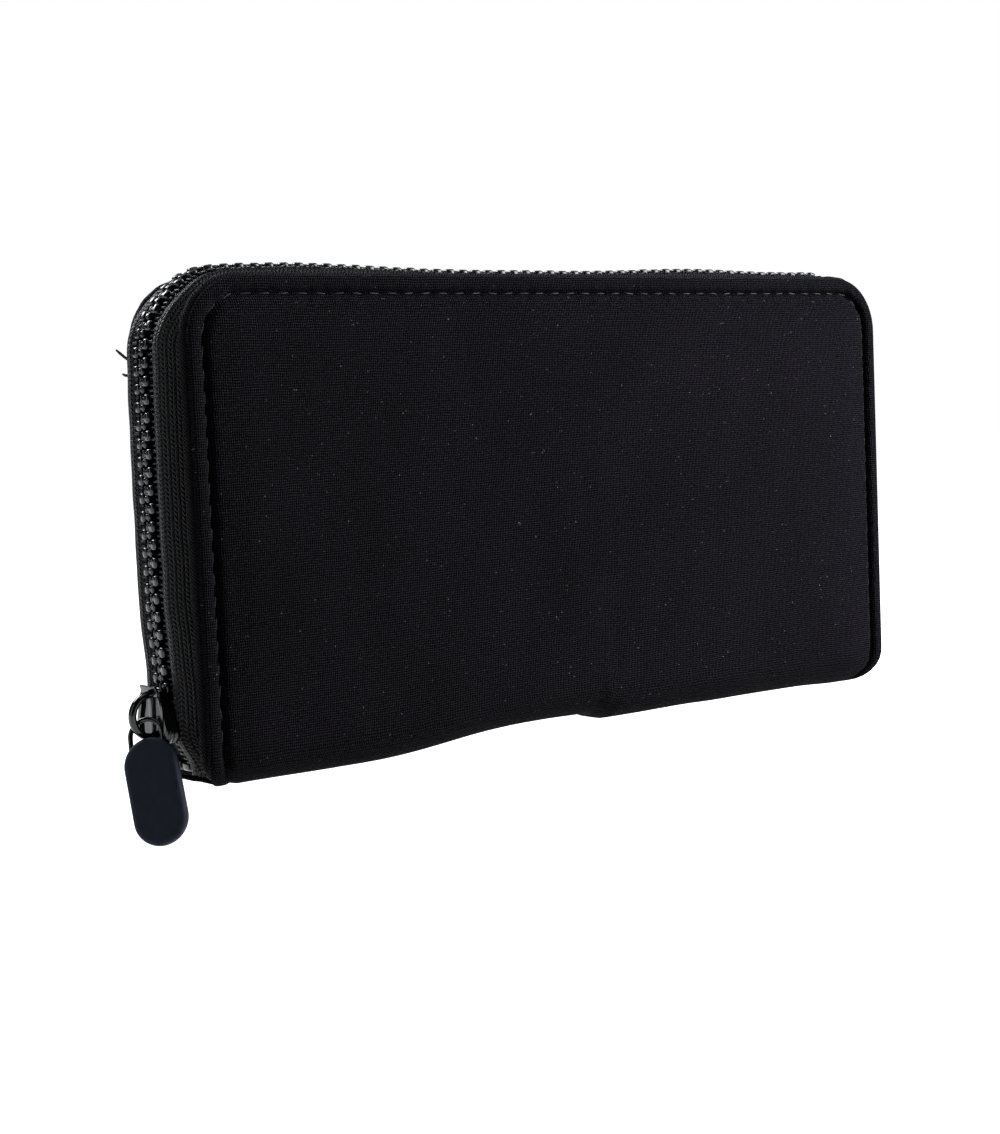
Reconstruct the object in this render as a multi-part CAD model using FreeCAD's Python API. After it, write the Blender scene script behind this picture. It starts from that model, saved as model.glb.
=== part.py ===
import FreeCAD, Part
import math
import os
from FreeCAD import Matrix, Vector

os.makedirs("parts", exist_ok=True)

# Zip-around pouch standing on its folded spine. Millimetres.
# X runs along the pouch, the front cover faces -Y, Z is up. The origin is the middle of the spine's underside.

# overall
pouch_length = 195.0
pouch_height = 100.0
pouch_thickness = 23.0
top_corner_radius = 13.0
bottom_corner_radius = 8.0

# covers
cover_wall = 3.0
panel_crown = 0.9
binding_width = 3.4
spine_wall = 3.0
fold_height = 4.2
fold_gap = 0.3
spine_corner = 3.4

# linings and what is sewn to them
lining_wall = 0.6
lining_inset = 8.4
card_tiers = 4
card_tier_wall = 0.5
card_tier_step = 12.0
card_tier_drop = 16.0
pocket_side_inset = 22.0
pocket_bottom = 8.0
gusset_wall = 0.5
gusset_inset = 10.0
gusset_depth = 9.0
gusset_drop = 16.0
gusset_gap = 0.4

# main zip
tooth_pitch = 3.5
tooth_thickness = 2.4
tooth_reach = 0.7
tooth_root = 2.8
tape_wall = 0.7
tape_edge_gap = 0.05
chain_side_out = 1.8
chain_top_out = 1.0
chain_corner_radius = 14.5
chain_bottom = 5.6
tape_flange_depth = 5.0
stop_length = 2.6

# main slider and its pull
slider_length = 11.0
slider_rest_z = 15.0
slider_shoulder = 6.0
slider_tail = 3.9
slider_plate = 1.0
slider_side = 0.9
running_gap = 0.25
bail_outer = 4.45
bail_wall = 0.85
bail_width = 0.9
bail_reach = 5.45
ring_radius = 3.3
ring_wire = 0.5
ring_drop = 0.6
ring_gap = 1.15
pull_length = 21.6
pull_width = 10.8
pull_thickness = 2.8
pull_edge = 1.1
pull_top_drop = 3.9
pull_twist = 38.0
pull_swing = 23.0
pull_tilt = -12.0
pull_lean = -5.0

# coin pocket zip
coin_chain_drop = 22.0
coin_coil_width = 1.9
coin_coil_thickness = 1.4
coin_tape_width = 6.0
coin_tape_wall = 0.4
coin_slider_length = 8.0
coin_slider_width = 7.0
coin_slider_x = 60.0
coin_slider_plate = 0.55
coin_running_gap = 0.2
coin_pull_length = 17.0
coin_pull_width = 5.0
coin_pull_wall = 0.9
coin_bail_outer = 2.4
coin_bail_inner = 1.5
coin_bail_width = 1.35

# derived planes
half_length = pouch_length / 2
half_thickness = pouch_thickness / 2
cover_inner = half_thickness - cover_wall
lining_inner = cover_inner - lining_wall
chain_half = half_length + chain_side_out
chain_top = pouch_height + chain_top_out
tooth_half = tooth_thickness / 2
tape_half = tape_wall / 2
channel_half = tooth_half + running_gap
slot_half = tape_half + running_gap
slider_half_thickness = channel_half + slider_plate
bail_arm = bail_reach - bail_outer
card_tier_top = pouch_height - card_tier_drop
gusset_top = pouch_height - gusset_drop
coin_chain_z = pouch_height - coin_chain_drop
tape_edge = tooth_root + tape_edge_gap
tape_flat = slider_shoulder + running_gap * 2
tape_drop = tape_flat - tape_edge
pocket_half = half_length - pocket_side_inset
coin_coil_y = lining_inner - coin_slider_plate - coin_running_gap * 2 - coin_coil_thickness / 2
wide = pouch_length * 2


def save(name, shape):
    """Write one node."""
    shape.exportStep("parts/" + name + ".step")


def prism(points, direction):
    """Closed polygon through the points, pushed along the direction."""
    wire = Part.makePolygon(points + [points[0]])
    return Part.Face(wire).extrude(direction)


def block(x0, x1, y0, y1, z0, z1):
    """Box between two corners."""
    return Part.makeBox(x1 - x0, y1 - y0, z1 - z0, Vector(x0, y0, z0))


def arc(centre_x, centre_z, radius, start, y):
    """Quarter circle in the XZ plane, from the start angle in degrees."""
    pts = []
    for angle in (start, start + 45, start + 90):
        a = math.radians(angle)
        pts.append(Vector(centre_x + radius * math.cos(a), y, centre_z + radius * math.sin(a)))
    return Part.Arc(pts[0], pts[1], pts[2]).toShape()


def outline_prism(inset, y0, y1):
    """The pouch's outline drawn in by the inset, pushed from y0 to y1."""
    half = half_length - inset
    low = inset
    top = pouch_height - inset
    r_top = max(top_corner_radius - inset, spine_wall / 2)
    r_low = max(bottom_corner_radius - inset, spine_wall / 2)
    edges = [
        Part.makeLine(Vector(-half + r_low, y0, low), Vector(half - r_low, y0, low)),
        arc(half - r_low, low + r_low, r_low, -90, y0),
        Part.makeLine(Vector(half, y0, low + r_low), Vector(half, y0, top - r_top)),
        arc(half - r_top, top - r_top, r_top, 0, y0),
        Part.makeLine(Vector(half - r_top, y0, top), Vector(-half + r_top, y0, top)),
        arc(-half + r_top, top - r_top, r_top, 90, y0),
        Part.makeLine(Vector(-half, y0, top - r_top), Vector(-half, y0, low + r_low)),
        arc(-half + r_low, low + r_low, r_low, 180, y0),
    ]
    return Part.Face(Part.Wire(edges)).extrude(Vector(0, y1 - y0, 0))


def above_fold(shape):
    """The part of a cover piece that stands above the fold."""
    return shape.common(block(-wide, wide, -wide, wide, fold_height, wide))


def across(side, inner, outer):
    """The two Y limits of a layer on one side of the pouch, low first."""
    return sorted((side * inner, side * outer))


def cover_panel(side):
    """Padded cover panel inside the bound border, crowned in the middle."""
    y0, y1 = across(side, cover_inner, half_thickness)
    base = outline_prism(binding_width, y0, y1)
    c0, c1 = across(side, half_thickness, half_thickness + panel_crown)
    crown = outline_prism(binding_width + panel_crown, c0, c1)
    return above_fold(base.fuse(crown)).removeSplitter()


def cover_binding(side):
    """Strip turned round the cover's edge, open at the fold."""
    y0, y1 = across(side, cover_inner, half_thickness)
    return above_fold(outline_prism(0, y0, y1).cut(outline_prism(binding_width, y0, y1)))


def fold_roll(top):
    """Space the fold keeps to, rounded about the two lines that the covers turn on."""
    line_y = half_thickness - cover_wall / 2
    line_z = spine_wall / 2
    radius = top - line_z
    low = block(-wide, wide, -half_thickness, half_thickness, 0, line_z)
    middle = block(-wide, wide, -line_y, line_y, 0, top)
    rolls = []
    for side in (-1, 1):
        start = Vector(-wide, side * line_y, line_z)
        rolls.append(Part.makeCylinder(radius, 2 * wide, start, Vector(1, 0, 0)))
    return low.fuse([middle] + rolls).removeSplitter()


def spine_panel():
    """Fold between the covers: flat underneath with a short wall up each side."""
    top = fold_height - fold_gap
    pts = [
        Vector(-wide, -half_thickness, top),
        Vector(-wide, -half_thickness, spine_corner),
        Vector(-wide, -half_thickness + spine_corner, 0),
        Vector(-wide, half_thickness - spine_corner, 0),
        Vector(-wide, half_thickness, spine_corner),
        Vector(-wide, half_thickness, top),
        Vector(-wide, cover_inner, top),
        Vector(-wide, cover_inner, spine_wall),
        Vector(-wide, -cover_inner, spine_wall),
        Vector(-wide, -cover_inner, top),
    ]
    channel = prism(pts, Vector(2 * wide, 0, 0)).common(fold_roll(top))
    return channel.common(outline_prism(0, -half_thickness, half_thickness))


def spine_lining():
    """Thin lining strip along the inside of the fold."""
    half = half_length - lining_inset
    edge = lining_inner - fold_gap
    return block(-half, half, -edge, edge, spine_wall, spine_wall + lining_wall)


def cover_lining(side):
    """Thin lining over the inside of a cover."""
    y0, y1 = across(side, lining_inner, cover_inner)
    return above_fold(outline_prism(lining_inset, y0, y1))


def rim_sweep(section):
    """Carry a section of (y, outward) points up one side, over the top and down the other."""
    corner_z = chain_top - chain_corner_radius
    corner_x = chain_half - chain_corner_radius
    leg_pts = [Vector(-chain_half - out, y, chain_bottom) for y, out in section]
    leg = prism(leg_pts, Vector(0, 0, corner_z - chain_bottom))
    bend_pts = [Vector(-chain_half - out, y, corner_z) for y, out in section]
    bend_face = Part.Face(Part.makePolygon(bend_pts + [bend_pts[0]]))
    bend = bend_face.revolve(Vector(-corner_x, 0, corner_z), Vector(0, 1, 0), 90)
    top_pts = [Vector(-corner_x, y, chain_top + out) for y, out in section]
    top = prism(top_pts, Vector(2 * corner_x, 0, 0))
    left = leg.fuse(bend)
    right = left.mirror(Vector(0, 0, 0), Vector(1, 0, 0))
    return left.fuse([top, right]).removeSplitter()


def zip_tape(side, stops):
    """Woven tape: flat beside the teeth, dipping behind the binding, then flat under the lining's edge."""
    seat = cover_inner - tape_wall
    section = [
        (side * tape_edge, tape_half),
        (side * tape_flat, tape_half),
        (side * cover_inner, -tape_drop),
        (side * cover_inner, -tape_drop - tape_flange_depth),
        (side * seat, -tape_drop - tape_flange_depth),
        (side * seat, -tape_drop - tape_half),
        (side * tape_flat, -tape_half),
        (side * tape_edge, -tape_half),
    ]
    return rim_sweep(section).cut(stops)


def tooth(side):
    """One moulded tooth at the origin: Y across the chain, Z along it, X through it."""
    head = tooth_pitch * 0.27
    neck = tooth_pitch * 0.17
    body = tooth_pitch * 0.34
    step = tooth_reach * 0.1
    outline = [
        (-tooth_reach, -head),
        (-tooth_reach, head),
        (-step, head),
        (step, neck),
        (tooth_reach + step, neck),
        (tooth_reach + 2 * step, body),
        (tooth_root, body),
        (tooth_root, -body),
        (tooth_reach + 2 * step, -body),
        (tooth_reach + step, -neck),
        (step, -neck),
        (-step, -head),
    ]
    pts = [Vector(-tooth_half, side * y, z) for y, z in outline]
    return prism(pts, Vector(tooth_thickness, 0, 0))


def chain_frame(along):
    """Place and turn, in degrees about Y, of the point this far along the chain from its left foot."""
    leg = chain_top - chain_corner_radius
    bend = chain_corner_radius * math.pi / 2
    corner_x = chain_half - chain_corner_radius
    if along < leg:
        return Vector(-chain_half, 0, along), 0.0
    if along < leg + bend:
        turn = (along - leg) / chain_corner_radius
        x = -corner_x - chain_corner_radius * math.cos(turn)
        z = leg + chain_corner_radius * math.sin(turn)
        return Vector(x, 0, z), math.degrees(turn)
    if along < leg + bend + 2 * corner_x:
        return Vector(-corner_x + along - leg - bend, 0, chain_top), 90.0
    place, turn = chain_frame(2 * (leg + bend + corner_x) - along)
    return Vector(-place.x, 0, place.z), 180.0 - turn


def chain_length():
    """Length of the chain's path from one foot to the other."""
    leg = chain_top - chain_corner_radius
    corner_x = chain_half - chain_corner_radius
    return 2 * (leg + chain_corner_radius * math.pi / 2 + corner_x)


def zip_teeth(side):
    """Row of teeth from inside the slider's tail to the far end; the two rows are half a pitch apart."""
    lag = tooth_pitch / 4 * (1 + side)
    start = slider_rest_z + slider_length / 4 + lag
    end = chain_length() - chain_bottom - stop_length - tooth_pitch
    count = int((end - start) / tooth_pitch)
    master = tooth(side)
    row = []
    for n in range(count):
        place, turn = chain_frame(start + n * tooth_pitch)
        one = master.copy()
        one.rotate(Vector(0, 0, 0), Vector(0, 1, 0), turn)
        one.translate(place)
        row.append(one)
    return Part.makeCompound(row)


def end_stops(side):
    """Moulded stop at each end of one tape: apart at the slider's end, close together at the far end."""
    top = chain_bottom + stop_length
    foot = chain_bottom + fold_gap
    outer = tooth_root + tooth_reach * 2
    near = sorted((side * tooth_reach * 2, side * outer))
    far = sorted((side * running_gap, side * outer))
    left = block(-chain_half - tooth_half, -chain_half + tooth_half, near[0], near[1], foot, top)
    right = block(chain_half - tooth_half, chain_half + tooth_half, far[0], far[1], foot, top)
    return Part.makeCompound([left, right])


def slider_outline(narrower):
    """Half outline of the slider's plate as (y, z) points, shoulder down, drawn in by the amount given."""
    low = -slider_length / 2
    high = slider_length / 2
    return [
        (slider_shoulder * 0.55, low),
        (slider_shoulder * 0.85, low + slider_length * 0.06),
        (slider_shoulder - narrower, low + slider_length * 0.18),
        (slider_shoulder - narrower, low + slider_length * 0.3),
        (slider_tail - narrower, high - slider_length * 0.32),
        (slider_tail - narrower, high - slider_length * 0.08),
        (slider_tail * 0.8, high),
    ]


def slider_slab(out0, out1):
    """Slider plate between two outward offsets."""
    half = slider_outline(0)
    loop = half + [(-y, z) for y, z in reversed(half)]
    pts = [Vector(-chain_half - out0, y, slider_rest_z + z) for y, z in loop]
    return prism(pts, Vector(out0 - out1, 0, 0))


def slider_walls(out0, out1):
    """The two side walls that keep the teeth in, between two outward offsets."""
    outer = slider_outline(0)[2:6]
    inner = slider_outline(slider_side)[2:6]
    walls = []
    for side in (1, -1):
        loop = outer + inner[::-1]
        pts = [Vector(-chain_half - out0, side * y, slider_rest_z + z) for y, z in loop]
        walls.append(prism(pts, Vector(out0 - out1, 0, 0)))
    return walls


def slider_body():
    """Two plates with side walls, joined by the wedge post that parts the rows."""
    outer = slider_slab(channel_half, slider_half_thickness)
    inner = slider_slab(-slider_half_thickness, -channel_half)
    post_half = tooth_reach * 1.6
    low = slider_rest_z - slider_length / 2 + slider_length * 0.04
    high = slider_rest_z - slider_length * 0.05
    post_pts = [
        Vector(-chain_half - channel_half, -post_half, low),
        Vector(-chain_half - channel_half, post_half, low),
        Vector(-chain_half - channel_half, post_half, high - post_half * 2),
        Vector(-chain_half - channel_half, 0, high),
        Vector(-chain_half - channel_half, -post_half, high - post_half * 2),
    ]
    post = prism(post_pts, Vector(2 * channel_half, 0, 0))
    walls = slider_walls(slot_half, channel_half) + slider_walls(-channel_half, -slot_half)
    return outer.fuse([inner, post] + walls).removeSplitter()


def bail_centre():
    """Centre of the bail's round end, a short arm's length out from the outer plate."""
    return Vector(-chain_half - slider_half_thickness - bail_arm, 0, slider_rest_z)


def bail_blank(radius):
    """Round-ended blank of the bail, from the outer plate's face outwards."""
    centre = bail_centre()
    y = bail_width / 2
    face_x = -chain_half - slider_half_thickness
    edges = [
        Part.makeLine(Vector(face_x, -y, centre.z + radius), Vector(centre.x, -y, centre.z + radius)),
        Part.Arc(
            Vector(centre.x, -y, centre.z + radius),
            Vector(centre.x - radius, -y, centre.z),
            Vector(centre.x, -y, centre.z - radius),
        ).toShape(),
        Part.makeLine(Vector(centre.x, -y, centre.z - radius), Vector(face_x, -y, centre.z - radius)),
        Part.makeLine(Vector(face_x, -y, centre.z - radius), Vector(face_x, -y, centre.z + radius)),
    ]
    return Part.Face(Part.Wire(edges)).extrude(Vector(0, bail_width, 0))


def slider_bail():
    """Bail standing on the slider's outer plate, for the pull's wire."""
    loop = bail_blank(bail_outer).cut(bail_blank(bail_outer - bail_wall))
    rims = [e for e in loop.Edges if e.Curve.TypeId == "Part::GeomCircle"]
    return loop.makeFillet(bail_wall * 0.3, rims)


def ring_pivot():
    """Where the pull's wire bears in the bail, allowing for the wire's slant through it."""
    slant = bail_width / 2 * math.tan(math.radians(pull_twist))
    reach = bail_outer - bail_wall - ring_wire - ring_gap - slant
    out = math.sqrt(reach ** 2 - ring_drop ** 2)
    return bail_centre() - Vector(out, 0, ring_drop)


def hang(shape):
    """Turn a pull built hanging from the origin, facing -X, and take it to the bail."""
    origin = Vector(0, 0, 0)
    shape.rotate(origin, Vector(1, 0, 0), pull_tilt)
    shape.rotate(origin, Vector(0, 1, 0), pull_swing)
    shape.rotate(origin, Vector(0, 0, 1), pull_twist)
    shape.translate(ring_pivot())
    return shape


def wire_loop():
    """Arched wire with two legs, hanging from the origin."""
    arch = Part.makeTorus(ring_radius, ring_wire, Vector(0, 0, -ring_radius), Vector(1, 0, 0))
    upper = block(-ring_radius, ring_radius, -2 * ring_radius, 2 * ring_radius, -ring_radius, ring_radius)
    loop = arch.common(upper)
    leg_length = pull_top_drop + pull_width / 2 - ring_radius
    legs = []
    for y in (-ring_radius, ring_radius):
        foot = Vector(0, y, -ring_radius - leg_length)
        legs.append(Part.makeCylinder(ring_wire, leg_length, foot, Vector(0, 0, 1)))
    return loop.fuse(legs).removeSplitter()


def pull_ring():
    """Wire loop through the bail."""
    return hang(wire_loop())


def pull_tab():
    """Round-ended moulded grip with eased edges, formed over the wire's legs."""
    radius = pull_width / 2
    top = -pull_top_drop - radius
    low = -pull_top_drop - pull_length + radius
    x = -pull_thickness / 2
    edges = [
        Part.makeLine(Vector(x, radius, low), Vector(x, radius, top)),
        Part.Arc(Vector(x, radius, top), Vector(x, 0, top + radius), Vector(x, -radius, top)).toShape(),
        Part.makeLine(Vector(x, -radius, top), Vector(x, -radius, low)),
        Part.Arc(Vector(x, -radius, low), Vector(x, 0, low - radius), Vector(x, radius, low)).toShape(),
    ]
    slab = Part.Face(Part.Wire(edges)).extrude(Vector(pull_thickness, 0, 0))
    rims = [e for e in slab.Edges if abs(abs(e.CenterOfMass.x) - pull_thickness / 2) < 0.01]
    grip = slab.makeFillet(pull_edge, rims)
    grip.rotate(Vector(0, 0, -pull_top_drop), Vector(1, 0, 0), pull_lean)
    return hang(grip.cut(wire_loop()))


def card_tier(number):
    """One card-slot tier on the front lining; each lies over the one before and stops lower."""
    outer = lining_inner - number * card_tier_wall
    top = card_tier_top - number * card_tier_step
    return block(-pocket_half, pocket_half, -outer, -outer + card_tier_wall, pocket_bottom, top)


def coin_pocket_wall():
    """Flat pocket on the back lining: a wall held off the lining by a seam along three sides."""
    front = coin_coil_y - coin_tape_wall / 2 - lining_wall
    back = front + lining_wall
    seam = lining_wall * 4
    top = coin_chain_z - coin_tape_width
    wall = block(-pocket_half, pocket_half, front, back, pocket_bottom, top)
    rim = block(-pocket_half, pocket_half, back, lining_inner, pocket_bottom, top)
    space = block(-pocket_half + seam, pocket_half - seam, back, lining_inner, pocket_bottom + seam, top)
    return wall.fuse(rim.cut(space)).removeSplitter()


def coin_pocket_facing():
    """Fabric band above the pocket's zip."""
    front = coin_coil_y - coin_tape_wall / 2 - lining_wall
    low = coin_chain_z + coin_tape_width
    return block(-pocket_half, pocket_half, front, lining_inner, low, low + coin_tape_width)


def coin_tape(side):
    """Tape beside the pocket's coils."""
    y0 = coin_coil_y - coin_tape_wall / 2
    edge = coin_coil_width + tape_edge_gap
    z0, z1 = sorted((coin_chain_z + side * edge, coin_chain_z + side * coin_tape_width))
    return block(-pocket_half, pocket_half, y0, y0 + coin_tape_wall, z0, z1)


def coin_coil(side):
    """Closed coil of the pocket's zip, from the far end to the slider's tail."""
    y0 = coin_coil_y - coin_coil_thickness / 2
    z0, z1 = sorted((coin_chain_z + side * tape_edge_gap, coin_chain_z + side * coin_coil_width))
    seam = lining_wall * 8
    return block(-pocket_half + seam, coin_slider_x, y0, y0 + coin_coil_thickness, z0, z1)


def coin_stops():
    """Small metal stops at the two ends of the pocket's zip."""
    y0 = coin_coil_y - coin_coil_thickness / 2
    low = coin_chain_z - coin_coil_width
    high = coin_chain_z + coin_coil_width
    length = lining_wall * 3
    far = -pocket_half + length
    near = coin_slider_x + coin_slider_length / 2 + length
    stops = []
    for x in (far, near):
        stops.append(block(x, x + length, y0, y0 + coin_coil_thickness, low, high))
    return Part.makeCompound(stops)


def coin_slider_body():
    """Slider of the pocket's zip: two plates, two side walls and a post at the closing end."""
    inner_half = coin_coil_thickness / 2 + coin_running_gap
    outer_half = inner_half + coin_slider_plate
    slot = coin_tape_wall / 2 + coin_running_gap
    x0 = coin_slider_x - coin_slider_length / 2
    x1 = coin_slider_x + coin_slider_length / 2
    half = coin_slider_width / 2
    throat = coin_coil_width + coin_running_gap
    pieces = []
    for side in (-1, 1):
        y = across(side, inner_half, outer_half)
        z0 = coin_chain_z - half
        z1 = coin_chain_z + half
        pieces.append(block(x0, x1, coin_coil_y + y[0], coin_coil_y + y[1], z0, z1))
        w = across(side, slot, inner_half)
        for edge in (-1, 1):
            z = across(edge, throat, half)
            low = coin_chain_z + z[0]
            high = coin_chain_z + z[1]
            pieces.append(block(x0, x1, coin_coil_y + w[0], coin_coil_y + w[1], low, high))
    post = coin_coil_width / 2
    px = coin_slider_x + coin_slider_length / 4
    low = coin_chain_z - post / 2
    pieces.append(block(px, px + post, coin_coil_y - inner_half, coin_coil_y + inner_half, low, low + post))
    return pieces[0].fuse(pieces[1:]).removeSplitter()


def coin_bail_face():
    """Y of the pocket slider's outer face."""
    return coin_coil_y - coin_coil_thickness / 2 - coin_running_gap - coin_slider_plate


def coin_slider_bail():
    """Half ring on the pocket's slider, spanning its length."""
    face = coin_bail_face()
    base = Vector(coin_slider_x, face, coin_chain_z - coin_bail_width / 2)
    disc = Part.makeCylinder(coin_bail_outer, coin_bail_width, base, Vector(0, 0, 1))
    hole = Part.makeCylinder(coin_bail_inner, coin_bail_width, base, Vector(0, 0, 1))
    reach = coin_bail_outer * 2
    keep = block(coin_slider_x - reach, coin_slider_x + reach, face - reach, face, 0, pouch_height)
    return disc.cut(hole).common(keep)


def coin_pull_tab():
    """Flat pull lying along the pocket's zip, forked round the bail with a pin through it."""
    pin = coin_pull_wall / 2
    y = coin_bail_face() - coin_bail_inner / 2
    half = coin_pull_width / 2
    low = coin_chain_z - half
    plate = block(coin_slider_x - pin, coin_slider_x + coin_pull_length, y - pin, y + pin, low, low + 2 * half)
    fork = coin_bail_outer + coin_running_gap * 1.5
    slot = coin_bail_width / 2 + coin_running_gap
    mouth = block(
        coin_slider_x - pin, coin_slider_x + fork, y - pin, y + pin, coin_chain_z - slot, coin_chain_z + slot
    )
    bar = Part.makeCylinder(pin, 2 * half, Vector(coin_slider_x, y, low), Vector(0, 0, 1))
    return plate.cut(mouth).fuse(bar).removeSplitter()


def gusset(side):
    """End gusset folded inwards like a bellows between the two linings."""
    root = side * (half_length - gusset_inset)
    tip = side * (half_length - gusset_inset - gusset_depth)
    edge = lining_inner - gusset_gap
    inner = side * gusset_wall
    low = fold_height + lining_wall
    pts = [
        Vector(root, edge, low),
        Vector(tip, 0, low),
        Vector(root, -edge, low),
        Vector(root - inner * 2, -edge, low),
        Vector(tip - inner * 2, 0, low),
        Vector(root - inner * 2, edge, low),
    ]
    return prism(pts, Vector(0, 0, gusset_top - low))


front_stops = end_stops(-1)
back_stops = end_stops(1)

save("back_panel", cover_panel(1))
save("back_binding", cover_binding(1))
save("spine_panel", spine_panel())
save("spine_lining", spine_lining())
save("back_lining", cover_lining(1))
save("zip_tape_back", zip_tape(1, back_stops))
save("zip_teeth_back", zip_teeth(1))
save("zip_stops_back", back_stops)
save("left_gusset", gusset(-1))
save("right_gusset", gusset(1))
save("coin_pocket_wall", coin_pocket_wall())
save("coin_pocket_facing", coin_pocket_facing())
save("coin_tape_lower", coin_tape(-1))
save("coin_tape_upper", coin_tape(1))
save("coin_coil_lower", coin_coil(-1))
save("coin_coil_upper", coin_coil(1))
save("coin_stops", coin_stops())
save("front_panel", cover_panel(-1))
save("front_binding", cover_binding(-1))
save("front_lining", cover_lining(-1))
save("zip_tape_front", zip_tape(-1, front_stops))
save("zip_teeth_front", zip_teeth(-1))
save("zip_stops_front", front_stops)
for number in range(card_tiers):
    save("card_tier_" + str(number + 1), card_tier(number))
save("slider_body", slider_body())
save("slider_bail", slider_bail())
save("pull_ring", pull_ring())
save("pull_tab", pull_tab())
save("coin_slider_body", coin_slider_body())
save("coin_slider_bail", coin_slider_bail())
save("coin_pull_tab", coin_pull_tab())
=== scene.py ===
import math

import bmesh
import bpy
import numpy as np
from mathutils import Matrix, Vector, noise


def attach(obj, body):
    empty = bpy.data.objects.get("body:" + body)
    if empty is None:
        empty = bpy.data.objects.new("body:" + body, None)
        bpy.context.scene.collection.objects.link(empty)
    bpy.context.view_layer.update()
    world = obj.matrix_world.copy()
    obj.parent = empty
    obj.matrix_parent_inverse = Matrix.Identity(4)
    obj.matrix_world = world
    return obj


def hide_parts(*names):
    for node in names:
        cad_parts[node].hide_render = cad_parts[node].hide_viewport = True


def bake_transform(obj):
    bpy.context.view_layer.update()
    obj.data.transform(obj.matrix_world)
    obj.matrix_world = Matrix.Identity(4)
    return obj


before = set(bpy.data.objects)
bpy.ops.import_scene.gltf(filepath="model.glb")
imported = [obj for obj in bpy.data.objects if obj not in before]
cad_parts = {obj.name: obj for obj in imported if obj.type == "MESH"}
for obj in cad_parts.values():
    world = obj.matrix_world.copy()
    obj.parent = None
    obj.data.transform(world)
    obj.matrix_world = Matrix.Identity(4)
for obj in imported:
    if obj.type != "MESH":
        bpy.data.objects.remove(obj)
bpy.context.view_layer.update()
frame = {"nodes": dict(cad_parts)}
mm = 0.001

# Sizes of the pouch in millimetres, the same as the CAD part's. The fold lies along X. The cloth
# is measured by x along the pouch and by v over the fold, from the front's top edge to the back's.
pouch = {
    "halfLength": 97.5,
    "height": 100.0,
    "topCorner": 13.0,
    "foldCorner": 8.0,
    "endInset": 5.5,
    "middleY": 10.0,
    "middleZ": 1.5,
    "wall": 3.0,
}
foldRadius = pouch["foldCorner"] - pouch["middleZ"]
foldFlat = pouch["middleY"] - foldRadius
foldArc = foldRadius * math.pi / 2
halfUnfolded = foldFlat + foldArc + pouch["height"] - pouch["foldCorner"]


def smooth(a, b, x):
    t = min(1.0, max(0.0, (x - a) / (b - a)))
    return t * t * (3 - 2 * t)


def bump(x, centre, width):
    return math.exp(-((x - centre) / width) ** 2)


def wave(x, y, z, scale, seed=0.0):
    return noise.noise(Vector((x / scale + seed, y / scale, z / scale)))


# Piece from points in millimetres, with normals outwards; uvs are in millimetres too.
def meshPiece(name, points, faces, material, uvs=None):
    mesh = bpy.data.meshes.new(name)
    mesh.from_pydata([(p[0] * mm, p[1] * mm, p[2] * mm) for p in points], [], faces)
    if uvs is not None:
        layer = mesh.uv_layers.new(name="UVMap")
        for loop in mesh.loops:
            layer.data[loop.index].uv = uvs[loop.vertex_index]
    mesh.polygons.foreach_set("use_smooth", [True] * len(mesh.polygons))
    work = bmesh.new()
    work.from_mesh(mesh)
    bmesh.ops.recalc_face_normals(work, faces=work.faces)
    work.to_mesh(mesh)
    work.free()
    piece = bpy.data.objects.new(name, mesh)
    bpy.context.scene.collection.objects.link(piece)
    mesh.materials.append(material)
    return piece


def nodeTool(tree):
    nodes, links = tree.nodes, tree.links

    def add(kind, **values):
        node = nodes.new(kind)
        for key, value in values.items():
            setattr(node, key, value)
        return node

    def join(a, b):
        links.new(a, b)

    return add, join


def newMaterial(name):
    material = bpy.data.materials.new(name)
    material.use_nodes = True
    shader = material.node_tree.nodes["Principled BSDF"]
    return material, shader


def math2(tree, operation, a, b=None):
    node = tree.nodes.new("ShaderNodeMath")
    node.operation = operation
    for slot, value in enumerate((a, b)):
        if value is None:
            continue
        if isinstance(value, (int, float)):
            node.inputs[slot].default_value = value
        else:
            tree.links.new(value, node.inputs[slot])
    return node.outputs[0]


def ramp(tree, value, low, high, outLow, outHigh):
    node = tree.nodes.new("ShaderNodeMapRange")
    node.inputs["From Min"].default_value = low
    node.inputs["From Max"].default_value = high
    node.inputs["To Min"].default_value = outLow
    node.inputs["To Max"].default_value = outHigh
    tree.links.new(value, node.inputs["Value"])
    return node.outputs["Result"]


def mixColour(tree, factor, a, b):
    node = tree.nodes.new("ShaderNodeMix")
    node.data_type = "RGBA"
    tree.links.new(factor, node.inputs["Factor"])
    for socket, value in ((node.inputs["A"], a), (node.inputs["B"], b)):
        if isinstance(value, tuple):
            socket.default_value = (*value, 1)
        else:
            tree.links.new(value, socket)
    return node.outputs["Result"]


def objectPoint(tree, scale):
    coord = tree.nodes.new("ShaderNodeTexCoord")
    mapping = tree.nodes.new("ShaderNodeMapping")
    mapping.inputs["Scale"].default_value = scale
    tree.links.new(coord.outputs["Object"], mapping.inputs["Vector"])
    return mapping.outputs["Vector"]


def uvPoint(tree, scale, turn=0.0):
    coord = tree.nodes.new("ShaderNodeUVMap")
    coord.uv_map = "UVMap"
    mapping = tree.nodes.new("ShaderNodeMapping")
    mapping.inputs["Scale"].default_value = (scale[0], scale[1], 1)
    mapping.inputs["Rotation"].default_value = (0, 0, turn)
    tree.links.new(coord.outputs["UV"], mapping.inputs["Vector"])
    return mapping.outputs["Vector"]


def noiseOf(tree, vector, scale, detail=2.0):
    node = tree.nodes.new("ShaderNodeTexNoise")
    node.inputs["Scale"].default_value = scale
    node.inputs["Detail"].default_value = detail
    tree.links.new(vector, node.inputs["Vector"])
    return node.outputs["Fac"]


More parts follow.
